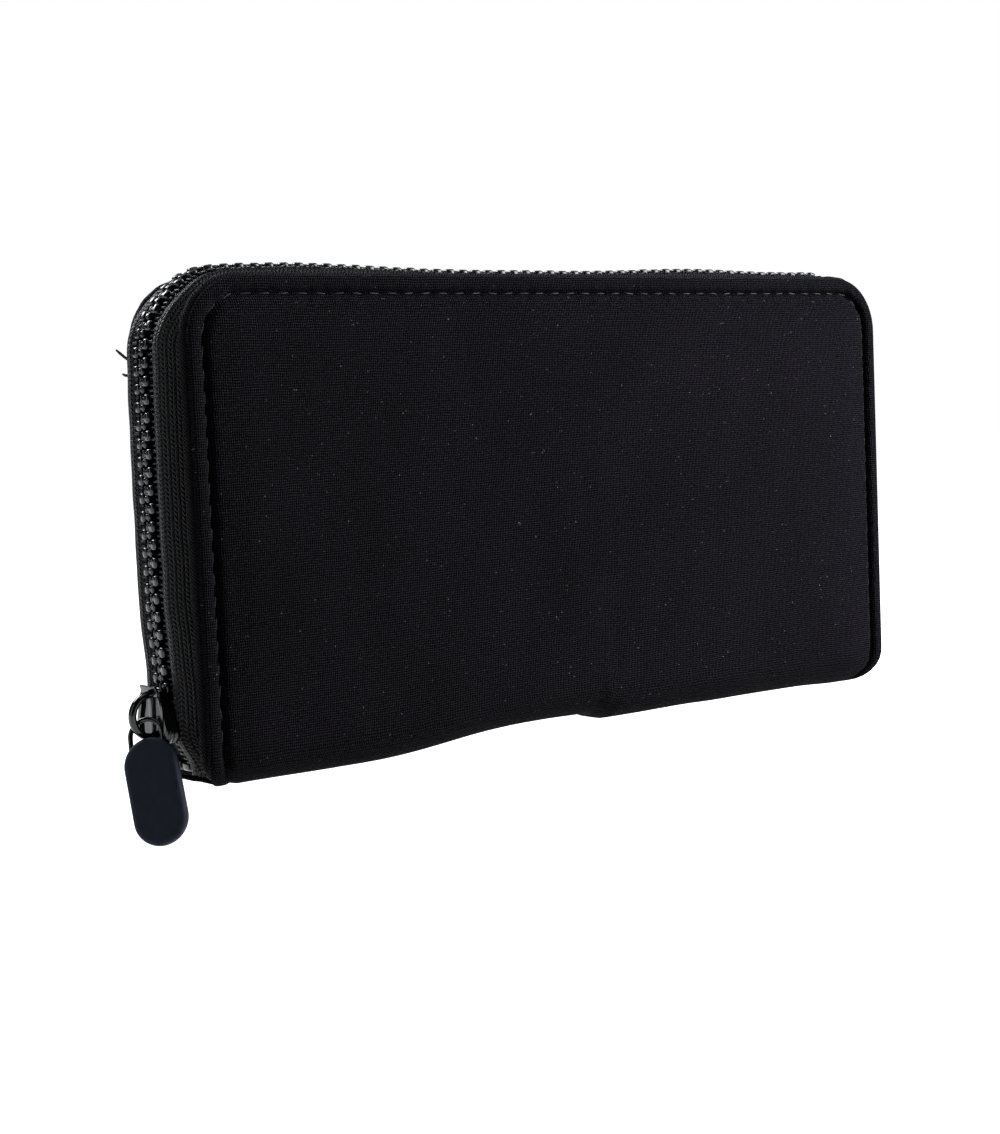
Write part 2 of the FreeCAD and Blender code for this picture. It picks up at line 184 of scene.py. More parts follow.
def bumpOf(tree, shader, height, strength, distance):
    node = tree.nodes.new("ShaderNodeBump")
    node.inputs["Strength"].default_value = strength
    node.inputs["Distance"].default_value = distance
    tree.links.new(height, node.inputs["Height"])
    tree.links.new(node.outputs["Normal"], shader.inputs["Normal"])


# The output sockets of a group placed in a tree, with each input set to a number or a link.
def useGroup(tree, group, **values):
    node = tree.nodes.new("ShaderNodeGroup")
    node.node_tree = group
    for name, value in values.items():
        if isinstance(value, (int, float)):
            node.inputs[name].default_value = value
        else:
            tree.links.new(value, node.inputs[name])
    return node.outputs


def shaderGroup(name, inputs, outputs):
    group = bpy.data.node_groups.new(name, "ShaderNodeTree")
    for label in inputs:
        kind = "NodeSocketVector" if label == "Point" else "NodeSocketFloat"
        group.interface.new_socket(label, in_out="INPUT", socket_type=kind)
    for label in outputs:
        group.interface.new_socket(label, in_out="OUTPUT", socket_type="NodeSocketFloat")
    add, join = nodeTool(group)
    return group, add, join, add("NodeGroupInput").outputs, add("NodeGroupOutput").inputs


# Uneven height and gloss of loose fibres, on every cloth.
def fuzzGroup():
    labels = ("Point", "Fineness", "Detail", "Smooth", "Rough")
    group, add, join, entry, leave = shaderGroup("cloth fuzz", labels, ("Fuzz", "Roughness"))
    cloud = add("ShaderNodeTexNoise")
    join(entry["Point"], cloud.inputs["Vector"])
    join(entry["Fineness"], cloud.inputs["Scale"])
    join(entry["Detail"], cloud.inputs["Detail"])
    gloss = add("ShaderNodeMapRange")
    gloss.inputs["From Min"].default_value = 0.3
    gloss.inputs["From Max"].default_value = 0.7
    join(cloud.outputs["Fac"], gloss.inputs["Value"])
    join(entry["Smooth"], gloss.inputs["To Min"])
    join(entry["Rough"], gloss.inputs["To Max"])
    join(cloud.outputs["Fac"], leave["Fuzz"])
    join(gloss.outputs["Result"], leave["Roughness"])
    return group


# Even ridges of yarn, a pitch apart.
def ridgeGroup():
    group, add, join, entry, leave = shaderGroup("yarn ridges", ("Place", "Pitch"), ("Ridge",))
    turns = add("ShaderNodeMath", operation="DIVIDE")
    join(entry["Place"], turns.inputs[0])
    join(entry["Pitch"], turns.inputs[1])
    angle = add("ShaderNodeMath", operation="MULTIPLY")
    join(turns.outputs[0], angle.inputs[0])
    angle.inputs[1].default_value = 2 * math.pi
    sine = add("ShaderNodeMath", operation="SINE")
    join(angle.outputs[0], sine.inputs[0])
    join(sine.outputs[0], leave["Ridge"])
    return group


clothFuzz = fuzzGroup()
yarnRidges = ridgeGroup()

knitSettings = {
    # dark is painted shade down in the grooves between yarns, light the colour on the yarn tops
    "dark": (0.0004, 0.0003, 0.0006),
    "light": (0.0340, 0.0300, 0.0405),
    "lint": (0.17, 0.17, 0.18),
    "courseMm": 0.5,
    "waleMm": 0.46,
    "specks": ((0.21, 0.035, 0.05), (0.34, 0.05, 0.075), (0.62, 0.07, 0.11)),
}


# Fine weft knit on foam: courses across, wales up, a fuzzy sheen and a little lint; its colour
# follows the yarn relief, near black in the grooves as painted shade, mixed with random fibre
# tone.
def knitMaterial(name):
    material, shader = newMaterial(name)
    tree = material.node_tree
    point = uvPoint(tree, (1, 1))
    split = tree.nodes.new("ShaderNodeSeparateXYZ")
    tree.links.new(point, split.inputs[0])
    wobble = math2(tree, "MULTIPLY", noiseOf(tree, point, 0.22), 0.55)
    up = math2(tree, "ADD", split.outputs["Y"], wobble)
    across = math2(tree, "ADD", split.outputs["X"], wobble)
    course = useGroup(tree, yarnRidges, Place=up, Pitch=knitSettings["courseMm"])["Ridge"]
    wale = useGroup(tree, yarnRidges, Place=across, Pitch=knitSettings["waleMm"])["Ridge"]
    weave = math2(tree, "ADD", course, math2(tree, "MULTIPLY", wale, 0.8))
    fibres = useGroup(
        tree, clothFuzz, Point=point, Fineness=3.4, Detail=4.0, Smooth=0.72, Rough=0.95
    )
    fuzz = fibres["Fuzz"]
    height = math2(tree, "ADD", weave, math2(tree, "MULTIPLY", fuzz, 2.6))
    # painted shade: the colour darkens with the yarn height, near black in the grooves, plus
    # random fibre tone
    tone = ramp(tree, height, 0.75, 3.1, 0.0, 1.0)
    patch = ramp(tree, noiseOf(tree, point, 1.9, 3.0), 0.36, 0.66, 0.4, 1.55)
    broad = ramp(tree, noiseOf(tree, point, 0.03, 2.0), 0.35, 0.65, 0.82, 1.15)
    level = math2(tree, "MULTIPLY", math2(tree, "MULTIPLY", tone, patch), broad)
    body = mixColour(tree, level, knitSettings["dark"], knitSettings["light"])
    speck = None
    for size, low, high in knitSettings["specks"]:
        spots = tree.nodes.new("ShaderNodeTexVoronoi")
        spots.inputs["Scale"].default_value = size
        tree.links.new(point, spots.inputs["Vector"])
        dot = ramp(tree, spots.outputs["Distance"], low, high, 1.0, 0.0)
        tint = tree.nodes.new("ShaderNodeSeparateColor")
        tree.links.new(spots.outputs["Color"], tint.inputs[0])
        chosen = ramp(tree, tint.outputs[0], 0.45, 1.0, 0.0, 1.0)
        dot = math2(tree, "MULTIPLY", dot, chosen)
        speck = dot if speck is None else math2(tree, "MAXIMUM", speck, dot)
    hair = noiseOf(tree, uvPoint(tree, (0.38, 1.4)), 1.0, 1.0)
    strand = ramp(tree, hair, 0.76, 0.8, 0.0, 0.45)
    speck = math2(tree, "MAXIMUM", speck, strand)
    dusted = mixColour(tree, speck, body, knitSettings["lint"])
    tree.links.new(dusted, shader.inputs["Base Color"])
    tree.links.new(fibres["Roughness"], shader.inputs["Roughness"])
    shader.inputs["Specular IOR Level"].default_value = 0.02
    shader.inputs["Sheen Weight"].default_value = 0.018
    shader.inputs["Sheen Roughness"].default_value = 0.42
    shader.inputs["Sheen Tint"].default_value = (0.8, 0.82, 1.0, 1)
    bumpOf(tree, shader, height, 0.9, 0.00014)
    return material


# Cloth whose ridges follow the piece's own UV map, measured in millimetres; its colour goes from
# light on the ridges to dark in the grooves, painted shade mixed with random fibre tone.
def ribMaterial(name, light, dark, pitchMm, turn, crossMm, strength, specular):
    material, shader = newMaterial(name)
    tree = material.node_tree
    point = uvPoint(tree, (1, 1), turn)
    split = tree.nodes.new("ShaderNodeSeparateXYZ")
    tree.links.new(point, split.inputs[0])
    wobble = math2(tree, "MULTIPLY", noiseOf(tree, point, 0.5), pitchMm * 0.5)
    along = math2(tree, "ADD", split.outputs["X"], wobble)
    rib = useGroup(tree, yarnRidges, Place=along, Pitch=pitchMm)["Ridge"]
    cross = useGroup(tree, yarnRidges, Place=split.outputs["Y"], Pitch=crossMm)["Ridge"]
    fibres = useGroup(
        tree, clothFuzz, Point=point, Fineness=1.7, Detail=3.0, Smooth=0.55, Rough=0.85
    )
    ribbed = math2(tree, "MULTIPLY", rib, math2(tree, "ADD", cross, 2.2))
    height = math2(tree, "ADD", ribbed, fibres["Fuzz"])
    # painted shade: darker down in the grooves between ribs, plus random fibre tone
    tone = ramp(tree, height, -1.6, 3.4, 0.0, 1.0)
    tree.links.new(mixColour(tree, tone, dark, light), shader.inputs["Base Color"])
    tree.links.new(fibres["Roughness"], shader.inputs["Roughness"])
    shader.inputs["Specular IOR Level"].default_value = specular
    shader.inputs["Sheen Weight"].default_value = 0.05
    shader.inputs["Sheen Roughness"].default_value = 0.4
    bumpOf(tree, shader, height, strength, 0.0002)
    return material


# Moulded or coated surface with a faint grain and uneven gloss.
def hardMaterial(name, colour, roughness, grainMm, specular, coat=0.0):
    material, shader = newMaterial(name)
    tree = material.node_tree
    point = objectPoint(tree, (1000, 1000, 1000))
    grain = noiseOf(tree, point, 1 / grainMm, 3.0)
    broad = noiseOf(tree, point, 0.12 / grainMm, 2.0)
    light = tuple(1.35 * c for c in colour)
    tone = mixColour(tree, ramp(tree, broad, 0.35, 0.65, 0, 1), colour, light)
    tree.links.new(tone, shader.inputs["Base Color"])
    gloss = math2(tree, "ADD", grain, broad)
    uneven = ramp(tree, gloss, 0.7, 1.3, roughness * 0.75, roughness * 1.3)
    tree.links.new(uneven, shader.inputs["Roughness"])
    shader.inputs["Specular IOR Level"].default_value = specular
    shader.inputs["Coat Weight"].default_value = coat
    shader.inputs["Coat Roughness"].default_value = 0.08
    bumpOf(tree, shader, grain, 0.25, 0.00005)
    return material


# Woven tape: columns of slanted yarns along the tape, each leaning the other way; its colour
# darkens down between the yarns and columns, painted shade mixed with random fibre tone.
def weaveMaterial(name, light, dark, pitchMm, columnMm, strength):
    material, shader = newMaterial(name)
    tree = material.node_tree
    split = tree.nodes.new("ShaderNodeSeparateXYZ")
    point = uvPoint(tree, (1, 1))
    tree.links.new(point, split.inputs[0])
    wobble = math2(tree, "MULTIPLY", noiseOf(tree, point, 0.6), pitchMm * 0.7)
    column = math2(tree, "DIVIDE", split.outputs["Y"], columnMm)
    number = math2(tree, "FLOOR", column)
    inside = math2(tree, "SUBTRACT", math2(tree, "SUBTRACT", column, number), 0.5)
    odd = math2(tree, "SUBTRACT", math2(tree, "MULTIPLY", math2(tree, "MODULO", number, 2), 2), 1)
    lean = math2(tree, "MULTIPLY", math2(tree, "MULTIPLY", inside, odd), pitchMm * 0.75)
    along = math2(tree, "ADD", math2(tree, "ADD", split.outputs["X"], wobble), lean)
    yarn = useGroup(tree, yarnRidges, Place=along, Pitch=pitchMm)["Ridge"]
    crest = math2(tree, "COSINE", math2(tree, "MULTIPLY", inside, math.pi))
    fibres = useGroup(
        tree, clothFuzz, Point=point, Fineness=2.2, Detail=3.0, Smooth=0.34, Rough=0.6
    )
    woven = math2(tree, "MULTIPLY", math2(tree, "ADD", yarn, 1.2), crest)
    height = math2(tree, "ADD", woven, math2(tree, "MULTIPLY", fibres["Fuzz"], 0.8))
    # painted shade: darker where the woven height drops between yarns and at each column's edges,
    # plus random fibre tone
    tone = ramp(tree, height, 1.0, 2.5, 0.0, 1.0)
    tree.links.new(mixColour(tree, tone, dark, light), shader.inputs["Base Color"])
    tree.links.new(fibres["Roughness"], shader.inputs["Roughness"])
    shader.inputs["Specular IOR Level"].default_value = 0.21
    bumpOf(tree, shader, height, strength, 0.00022)
    return material


shellKnit = knitMaterial("shell knit")
bindingCloth = ribMaterial(
    "binding knit",
    light=(0.0290, 0.0265, 0.0325),
    # near-black dark: painted shade in the binding's rib grooves
    dark=(0.0003, 0.0003, 0.0005),
    pitchMm=0.56,
    turn=0.62,
    crossMm=0.5,
    strength=0.9,
    specular=0.06,
)
tapeCloth = weaveMaterial(
    "zip tape weave",
    light=(0.0125, 0.0122, 0.0185),
    # near-black dark: painted shade between the tape's yarns
    dark=(0.0001, 0.0001, 0.0002),
    pitchMm=0.92,
    columnMm=0.78,
    strength=1.0,
)
liningCloth = ribMaterial(
    "lining twill",
    light=(0.014, 0.014, 0.016),
    dark=(0.006, 0.006, 0.007),
    pitchMm=0.35,
    turn=0.8,
    crossMm=0.35,
    strength=0.4,
    specular=0.25,
)
cardCloth = ribMaterial(
    "card slot fabric",
    light=(0.017, 0.017, 0.019),
    dark=(0.007, 0.007, 0.008),
    pitchMm=0.5,
    turn=0.0,
    crossMm=0.5,
    strength=0.4,
    specular=0.2,
)
threadCloth = hardMaterial(
    "sewing thread",
    colour=(0.010, 0.010, 0.012),
    roughness=0.45,
    grainMm=0.12,
    specular=0.25,
)
toothPlastic = hardMaterial(
    "tooth plastic",
    colour=(0.0028, 0.003, 0.004),
    roughness=0.22,
    grainMm=0.6,
    specular=0.4,
    coat=0.12,
)
sliderPaint = hardMaterial(
    "slider enamel",
    colour=(0.0024, 0.0026, 0.0034),
    roughness=0.13,
    grainMm=0.8,
    specular=0.3,
    coat=0.15,
)
pullRubber = hardMaterial(
    "pull rubber",
    colour=(0.0079, 0.0116, 0.0210),
    roughness=0.6,
    grainMm=0.18,
    specular=0.12,
)
print("materials made", flush=True)


# How far the shell's end draws in near the fold, at unfolded height v.
def endInset(v):
    high = abs(v) - foldFlat
    if high >= foldArc:
        return 0.0
    turn = max(0.0, high) / foldRadius
    return pouch["endInset"] * (1 - math.sqrt(max(0.0, 1 - math.cos(turn) ** 2)))


# Distance in from the shell's cut edge, measured on the unfolded cloth.
def edgeDistance(x, v):
    r = pouch["topCorner"]
    qx = abs(x) + endInset(v) - (pouch["halfLength"] - r)
    qv = abs(v) - (halfUnfolded - r)
    outside = math.hypot(max(qx, 0), max(qv, 0))
    return r - outside - min(max(qx, qv), 0)


# Middle of the wall at unfolded height v: y, z and the outward normal.
def foldProfile(v):
    side = 1 if v > 0 else -1
    high = abs(v)
    if high < foldFlat:
        return v, pouch["middleZ"], 0.0, -1.0
    if high < foldFlat + foldArc:
        turn = (high - foldFlat) / foldRadius
        y = foldFlat + foldRadius * math.sin(turn)
        z = pouch["foldCorner"] - foldRadius * math.cos(turn)
        return side * y, z, side * math.sin(turn), -math.cos(turn)
    z = pouch["foldCorner"] + high - foldFlat - foldArc
    return side * pouch["middleY"], z, float(side), 0.0


pinch = {
    "lift": 2.6,
    "notch": 0.55,
    "notchX": 4.5,
    "arch": 0.3,
    "fadeHeight": 15.0,
}


# The lift where the fold has been squeezed near the middle, on a slight arch from end to end.
def foldPinch(x, z):
    rise = smooth(-58, -14, x) * (1 - 0.72 * smooth(1.5, 8.5, x)) * (1 - smooth(60, 92, x))
    notch = pinch["notch"] * bump(x, pinch["notchX"], 2.4)
    arch = pinch["arch"] * smooth(-60, 0, x) * (1 - smooth(70, 92, x))
    lift = pinch["lift"] * rise + notch + arch
    return lift * math.exp(-max(0.0, z) / pinch["fadeHeight"])


# Point on the folded shell, lift millimetres out from the middle of its wall.
def shellPoint(x, v, lift):
    y, z, ny, nz = foldProfile(v)
    py = y + ny * lift
    pz = z + nz * lift
    return x, py, pz + foldPinch(x, z)


# Slow unevenness of the padded wall.
def coverSwell(x, v):
    side = 1.0 if v > 0 else 2.0
    return 0.34 * wave(x, v, 0, 38.0, side) + 0.14 * wave(x, v, 3, 13.0, side)


stitch = {"inset": 4.0, "pitch": 4.35, "length": 2.7, "thick": 0.5, "lift": 0.62}


# Rough distance along the seam, for puckers that keep in step with the stitches.
def edgeRun(x, v):
    nearTop = halfUnfolded - abs(v)
    nearEnd = pouch["halfLength"] - abs(x)
    if nearTop < nearEnd:
        return x
    return v


padCloth = {
    "half": 92.0,
    "low": 14.0,
    "high": halfUnfolded - 4.5,
    "across": 70,
    "up": 34,
    "frames": 20,
    "pressure": 4.0,
    "crown": 0.62,
}


# How far a slack panel pinned along its seams puffs out under pressure, as shares of the crown.
def swellPanel(seed):
    high = padCloth["high"]
    across, up = padCloth["across"], padCloth["up"]
    grid = []
    for r in range(up + 1):
        for c in range(across + 1):
            x = padCloth["half"] * (-1 + 2 * c / across)
            z = padCloth["low"] + (high - padCloth["low"]) * r / up
            grid.append((x * mm, 0.3 * mm * wave(x, z, 0, 14.0, seed), z * mm))
    wide = across + 1
    corners = [r * wide + c for r in range(up) for c in range(across)]
    faces = [(a, a + 1, a + wide + 1, a + wide) for a in corners]
    mesh = bpy.data.meshes.new("pad")
    mesh.from_pydata(grid, [], faces)
    pad = bpy.data.objects.new("pad", mesh)
    bpy.context.scene.collection.objects.link(pad)
    rim = [a for a in range(wide * (up + 1)) if a // wide in (0, up) or a % wide in (0, across)]
    pad.vertex_groups.new(name="seam").add(rim, 1.0, "REPLACE")
    cloth = pad.modifiers.new("cloth", "CLOTH")
    cloth.settings.quality = 6
    cloth.settings.mass = 0.25
    cloth.settings.tension_stiffness = 20
    cloth.settings.compression_stiffness = 20
    cloth.settings.bending_stiffness = 0.4
    cloth.settings.vertex_group_mass = "seam"
    cloth.settings.shrink_min = -0.006
    cloth.settings.use_pressure = True
    cloth.settings.uniform_pressure_force = padCloth["pressure"]
    cloth.settings.effector_weights.gravity = 0
    scene = bpy.context.scene
    for number in range(1, padCloth["frames"] + 1):
        scene.frame_set(number)
    graph = bpy.context.evaluated_depsgraph_get()
    moved = pad.evaluated_get(graph).data
    rise = np.array([abs(v.co.y - p[1]) for v, p in zip(moved.vertices, grid)])
    rise = rise.reshape(up + 1, wide)
    scene.frame_set(1)
    bpy.data.objects.remove(pad)
    return rise / max(1e-6, float(np.percentile(rise, 97)))


swollen = {side: swellPanel(side * 3.0) for side in (-1, 1)}
highest = [round(float(field.max()), 2) for field in swollen.values()]
print("panels swollen, highest share", highest, flush=True)


# Height of the puffed panel at a place on the cloth.
def puffed(x, v):
    high = padCloth["high"]
    r = (abs(v) - padCloth["low"]) / (high - padCloth["low"]) * padCloth["up"]
    c = (x / padCloth["half"] + 1) / 2 * padCloth["across"]
    if r <= 0 or r >= padCloth["up"] or c <= 0 or c >= padCloth["across"]:
        return 0.0
    field = swollen[1 if v > 0 else -1]
    r0, c0 = min(int(r), padCloth["up"] - 1), min(int(c), padCloth["across"] - 1)
    fr, fc = r - r0, c - c0
    low = field[r0, c0] * (1 - fc) + field[r0, c0 + 1] * fc
    top = field[r0 + 1, c0] * (1 - fc) + field[r0 + 1, c0 + 1] * fc
    return padCloth["crown"] * min(1.15, float(low * (1 - fr) + top * fr))


margin = {
    "edge": 0.5,
    "roll": 0.5,
    "rollAt": 2.1,
    "rollHalf": 1.75,
    "groove": 0.95,
    "flange": 0.95,
    "slope": 0.6,
    "pucker": 0.27,
}


# Outer face of the panel, measured out from the middle of the wall.
def panelLift(x, v):
    d = edgeDistance(x, v)
    away = (d - margin["rollAt"]) / margin["rollHalf"]
    upright = smooth(3.0, 15.0, abs(v))
    roll = margin["roll"] * (0.35 + 0.65 * upright) * math.sqrt(max(0.0, 1 - away * away))
    roll -= 0.25 * (1 - smooth(0.4, 1.0, d))
    crown = (0.2 + 0.25 * upright) * smooth(4.2, 6.0, d) + puffed(x, v)
    crown += margin["slope"] * upright * smooth(4.6, 13.0, d)
    groove = -margin["groove"] * (0.12 + 0.88 * upright) * bump(d, stitch["inset"], 0.62)
    step = math.cos(2 * math.pi * edgeRun(x, v) / stitch["pitch"])
    beside = bump(d, stitch["inset"] + 1.2, 1.0) + 0.8 * bump(d, stitch["inset"] - 1.0, 0.7)
    pucker = -margin["pucker"] * upright * step * beside
    crease = -0.24 * bump(x, 7.2 + 0.03 * abs(v), 0.9) * bump(v, -foldFlat - foldArc, 17.0)
    fold = 0.30 * bump(x - 0.55 * (abs(v) - 8.0), 3.5, 1.3) * bump(v, -13.0, 5.0)
    slow = coverSwell(x, v) * smooth(4, 20, d)
    return pouch["wall"] / 2 + roll + crown + groove + pucker + crease + fold + slow


# How far in from the edge the rows of points lie, closest together at the seam.
edgeSteps = [0, 0.25, 0.6, 1.1, 1.7, 2.3, 2.7, 3.0, 3.25, 3.5]
edgeSteps += [3.75, 4.05, 4.4, 4.9, 5.6, 6.6, 8.0, 9.6, 11.4, 13.4]


# Unfolded heights for the rows, close together along the two top edges.
def shellRows(inset, step):
    top = halfUnfolded - inset
    middle = top - edgeSteps[-1]
    count = int(middle / step)
    rows = [middle * n / count for n in range(count)] + [top - e for e in reversed(edgeSteps)]
    return [-r for r in reversed(rows[1:])] + rows


# Places along a row, close together at its two ends.
def rowColumns(half, step):
    middle = pouch["halfLength"] - pouch["topCorner"] - pouch["endInset"]
    count = int(2 * middle / step)
    reach = half - edgeSteps[-1]
    inner = [reach * (-1 + 2 * n / count) for n in range(1, count)]
    return [-half + e for e in edgeSteps] + inner + [half - e for e in reversed(edgeSteps)]


# Half length of the shell at unfolded height v, drawn in by the inset.
def rowHalf(v, inset):
    r = pouch["topCorner"]
    half = pouch["halfLength"] - endInset(v) - inset
    over = abs(v) - (halfUnfolded - r)
    if over > 0:
        half -= (r - inset) - math.sqrt(max(0.0, (r - inset) ** 2 - over ** 2))
    return half


# Faces of a closed slab: an outer and an inner grid of points, joined round the rim.
def gridFaces(rows, columns):
    layer = rows * columns
    faces = []
    for r in range(rows - 1):
        for c in range(columns - 1):
            a = r * columns + c
            b = a + layer
            faces.append((a, a + 1, a + columns + 1, a + columns))
            faces.append((b, b + columns, b + columns + 1, b + 1))
    for c in range(columns - 1):
        last = (rows - 1) * columns + c
        faces.append((c, layer + c, layer + c + 1, c + 1))
        faces.append((last, last + 1, layer + last + 1, layer + last))
    for r in range(rows - 1):
        a = r * columns
        b = a + columns - 1
        faces.append((a, a + columns, layer + a + columns, layer + a))
        faces.append((b, layer + b, layer + b + columns, b + columns))
    return faces


# Slab that follows the folded shell, between two lifts given as functions of x and v.
def slabOverFold(inset, step, outer, inner):
    rows = shellRows(inset, step)
    points = []
    uvs = []
    for lift in (outer, inner):
        for v in rows:
            line = rowColumns(rowHalf(v, inset), step)
            for x in line:
                points.append(shellPoint(x, v, lift(x, v)))
                uvs.append((x, v))
    return points, gridFaces(len(rows), len(line)), uvs


# Inner face of the shell, stepped out to a thin flange over the bound edge.
def shellInner(x, v):
    return margin["flange"] - (margin["flange"] + 1.3) * smooth(2.5, 3.6, edgeDistance(x, v))


shellPoints, shellFaces, shellUvs = slabOverFold(margin["edge"], 1.45, panelLift, shellInner)
shell = meshPiece("neoprene_shell", shellPoints, shellFaces, shellKnit, shellUvs)


# Points (x, v, outward x, outward v) round the shell's edge at the inset, evenly spaced.
def loopRun(inset, step):
    r = pouch["topCorner"] - inset
    straight = halfUnfolded - pouch["topCorner"]
    flat = pouch["halfLength"] - pouch["topCorner"]
    path = []
    count = int(2 * straight / step)
    bends = int(r * math.pi / 2 / step)
    for n in range(count):
        v = -straight + 2 * straight * n / count
        path.append((-(pouch["halfLength"] - inset - endInset(v)), v, -1.0, 0.0))
    for n in range(bends):
        c, q = math.cos(math.pi / 2 * n / bends), math.sin(math.pi / 2 * n / bends)
        path.append((-flat - r * c, straight + r * q, -c, q))
    count = int(2 * flat / step)
    for n in range(count):
        path.append((-flat + 2 * flat * n / count, straight + r, 0.0, 1.0))
    for n in range(bends):
        c, q = math.cos(math.pi / 2 * n / bends), math.sin(math.pi / 2 * n / bends)
        path.append((flat + r * q, straight + r * c, q, c))
    return path + [(-x, -v, -ox, -ov) for x, v, ox, ov in path]


binding = {"half": 1.35, "thick": 1.0, "inset": 1.1, "centre": -0.58, "sides": 20}


def bindingMesh():
    points = []
    uvs = []
    run = 0.0
    loop = loopRun(binding["inset"], 1.0)
    before = None
    sides = binding["sides"]
    for x, v, ox, ov in loop:
        y, z, ny, nz = foldProfile(v)
        centre = Vector(shellPoint(x, v, binding["centre"]))
        normal = Vector((0, ny, nz))
        if before is not None:
            run += (centre - before).length
        before = centre
        out = Vector((ox, 0, abs(ov)))
        out.normalize()
        soft = 0.09 * wave(run, 0, 0, 9.0, 5.0)
        tight = 0.07 * math.cos(2 * math.pi * run / stitch["pitch"])
        for k in range(sides):
            a = 2 * math.pi * k / sides
            c, s = math.cos(a), math.sin(a)
            w = (binding["half"] + tight) * math.copysign(abs(c) ** 0.8, c)
            h = (binding["thick"] + soft) * math.copysign(abs(s) ** 0.75, s)
            p = centre + out * w + normal * h
            points.append(tuple(p))
            uvs.append((run, a * 1.4))
    count = len(loop)
    faces = []
    for n in range(count):
        m = (n + 1) % count
        for k in range(sides):
            j = (k + 1) % sides
            faces.append((n * sides + k, n * sides + j, m * sides + j, m * sides + k))
    return points, faces, uvs


bindPoints, bindFaces, bindUvs = bindingMesh()
edgeBinding = meshPiece("edge_binding", bindPoints, bindFaces, bindingCloth, bindUvs)
print("shell and binding made", flush=True)


chain = {"corner": 14.5, "foot": 2.8, "pitch": 3.5}


# How far the zip's middle stands out from the covers' edge, as it waves along the pouch.
def chainOut(x, z):
    along = 0.35 + 1.15 * bump(x, -66, 26) + 0.75 * bump(x, 44, 22) + 0.2 * bump(x, 86, 12)
    left = 1.8 + 1.0 * smooth(19, 38, z) * (1 - 0.3 * smooth(62, 90, z))
    right = 1.6 + 0.7 * smooth(19, 40, z)
    side = left if x < 0 else right
    high = smooth(84, 99, z)
    return side * (1 - high) + along * high


# Points (x, z) up the left end, over the top and down the right end.
def chainPath(step):
    path = []
    r = chain["corner"]
    flat = pouch["halfLength"] + 1 - r
    straight = pouch["height"] + 1 - r
    base = []
    n = int((straight - chain["foot"]) / step)
    for k in range(n):
        base.append((-flat - r, chain["foot"] + (straight - chain["foot"]) * k / n, -1.0, 0.0))
    n = int(r * math.pi / 2 / step)
    for k in range(n):
        c, q = math.cos(math.pi / 2 * k / n), math.sin(math.pi / 2 * k / n)
        base.append((-flat - r * c, straight + r * q, -c, q))
    n = int(flat / step)
    for k in range(n + 1):
        base.append((-flat + flat * k / n, straight + r, 0.0, 1.0))
    full = base + [(-x, z, -ox, oz) for x, z, ox, oz in reversed(base[:-1])]
    for x, z, ox, oz in full:
        grow = chainOut(x, z) - 1.0
        curl = -3.6 * (1 - smooth(2.8, 11.5, z))
        path.append((x + ox * (grow + curl), z + oz * grow, ox, oz))
    return path


# Closed strip: section(x, z, run) gives its (y, outward) ring at each point of the chain's
# path.
def sweepRim(name, section, material, step=1.0, keep=None):
    points = []
    uvs = []
    path = chainPath(step)
    if keep is not None:
        path = [p for p in path if keep(p[0], p[1])]
    run = 0.0
    before = None
    for x, z, ox, oz in path:
        if before is not None:
            run += math.hypot(x - before[0], z - before[1])
        before = (x, z)
        ring = section(x, z, run)
        width = 0.0
        for k, (y, out) in enumerate(ring):
            if k:
                width += math.hypot(y - ring[k - 1][0], out - ring[k - 1][1])
            points.append((x + ox * out, y, z + oz * out))
            uvs.append((run, width))
    sides = len(ring)
    faces = []
    for n in range(len(path) - 1):
        for k in range(sides):
            j = (k + 1) % sides
            faces.append((n * sides + k, n * sides + j, (n + 1) * sides + j, (n + 1) * sides + k))
    faces.append(tuple(range(sides)))
    faces.append(tuple(range((len(path) - 1) * sides, len(path) * sides))[::-1])
    return meshPiece(name, points, faces, material, uvs)


tape = {
    "wall": 0.62,
    "edge": 2.75,
    "bulge": 0.55,
    "seat": 7.9,
    "depth": 6.5,
    "tuck": 1.9,
    "lip": 0.42,
    "loopPitch": 1.16,
}


# How far out the tape is sewn: inside the covers, and drawn in where they curve under.
def seatY(z):
    below = min(1.0, max(0.0, pouch["foldCorner"] - z) / foldRadius)
    return foldFlat + (tape["seat"] - foldFlat) * math.sqrt(1 - below * below)


def patchSection(x, z, run):
    y = 3.6
    return [(-y, -0.8), (0, -1.0), (y, -0.8), (y, -1.4), (0, -1.6), (-y, -1.4)]


def tapeSection(side):
    def ring(x, z, run):
        grow = chainOut(x, z)
        seat = seatY(z)
        line = []
        steps = 16
        for k in range(steps + 1):
            t = k / steps
            y = tape["edge"] + (seat - tape["edge"]) * t
            lip = -tape["lip"] * (1 - smooth(0.16, 0.34, t))
            rounded = math.sin(math.pi * min(1.0, t * 1.25))
            out = lip + (tape["bulge"] - smooth(86, 99, z)) * rounded
            out -= (grow + tape["tuck"]) * smooth(0.6, 1.02, t)
            out += 0.16 * wave(x, z, y, 7.0, 3.0 * side) * math.sin(math.pi * t)
            line.append((y, out))
        line.append((seat + 0.05, line[-1][1] - tape["depth"]))
        outer = [(side * y, out + tape["wall"] / 2) for y, out in line]
        inner = []
        for n, (y, out) in enumerate(line):
            back = tape["wall"] if n == len(line) - 1 else 0.25 * n / len(line)
            inner.append((side * (y - back), out - tape["wall"] / 2))
        return outer + inner[::-1]

    return ring


tapeFront = sweepRim("front_zip_tape", tapeSection(-1), tapeCloth, 1.0)
tapeBack = sweepRim("back_zip_tape", tapeSection(1), tapeCloth, 1.0)


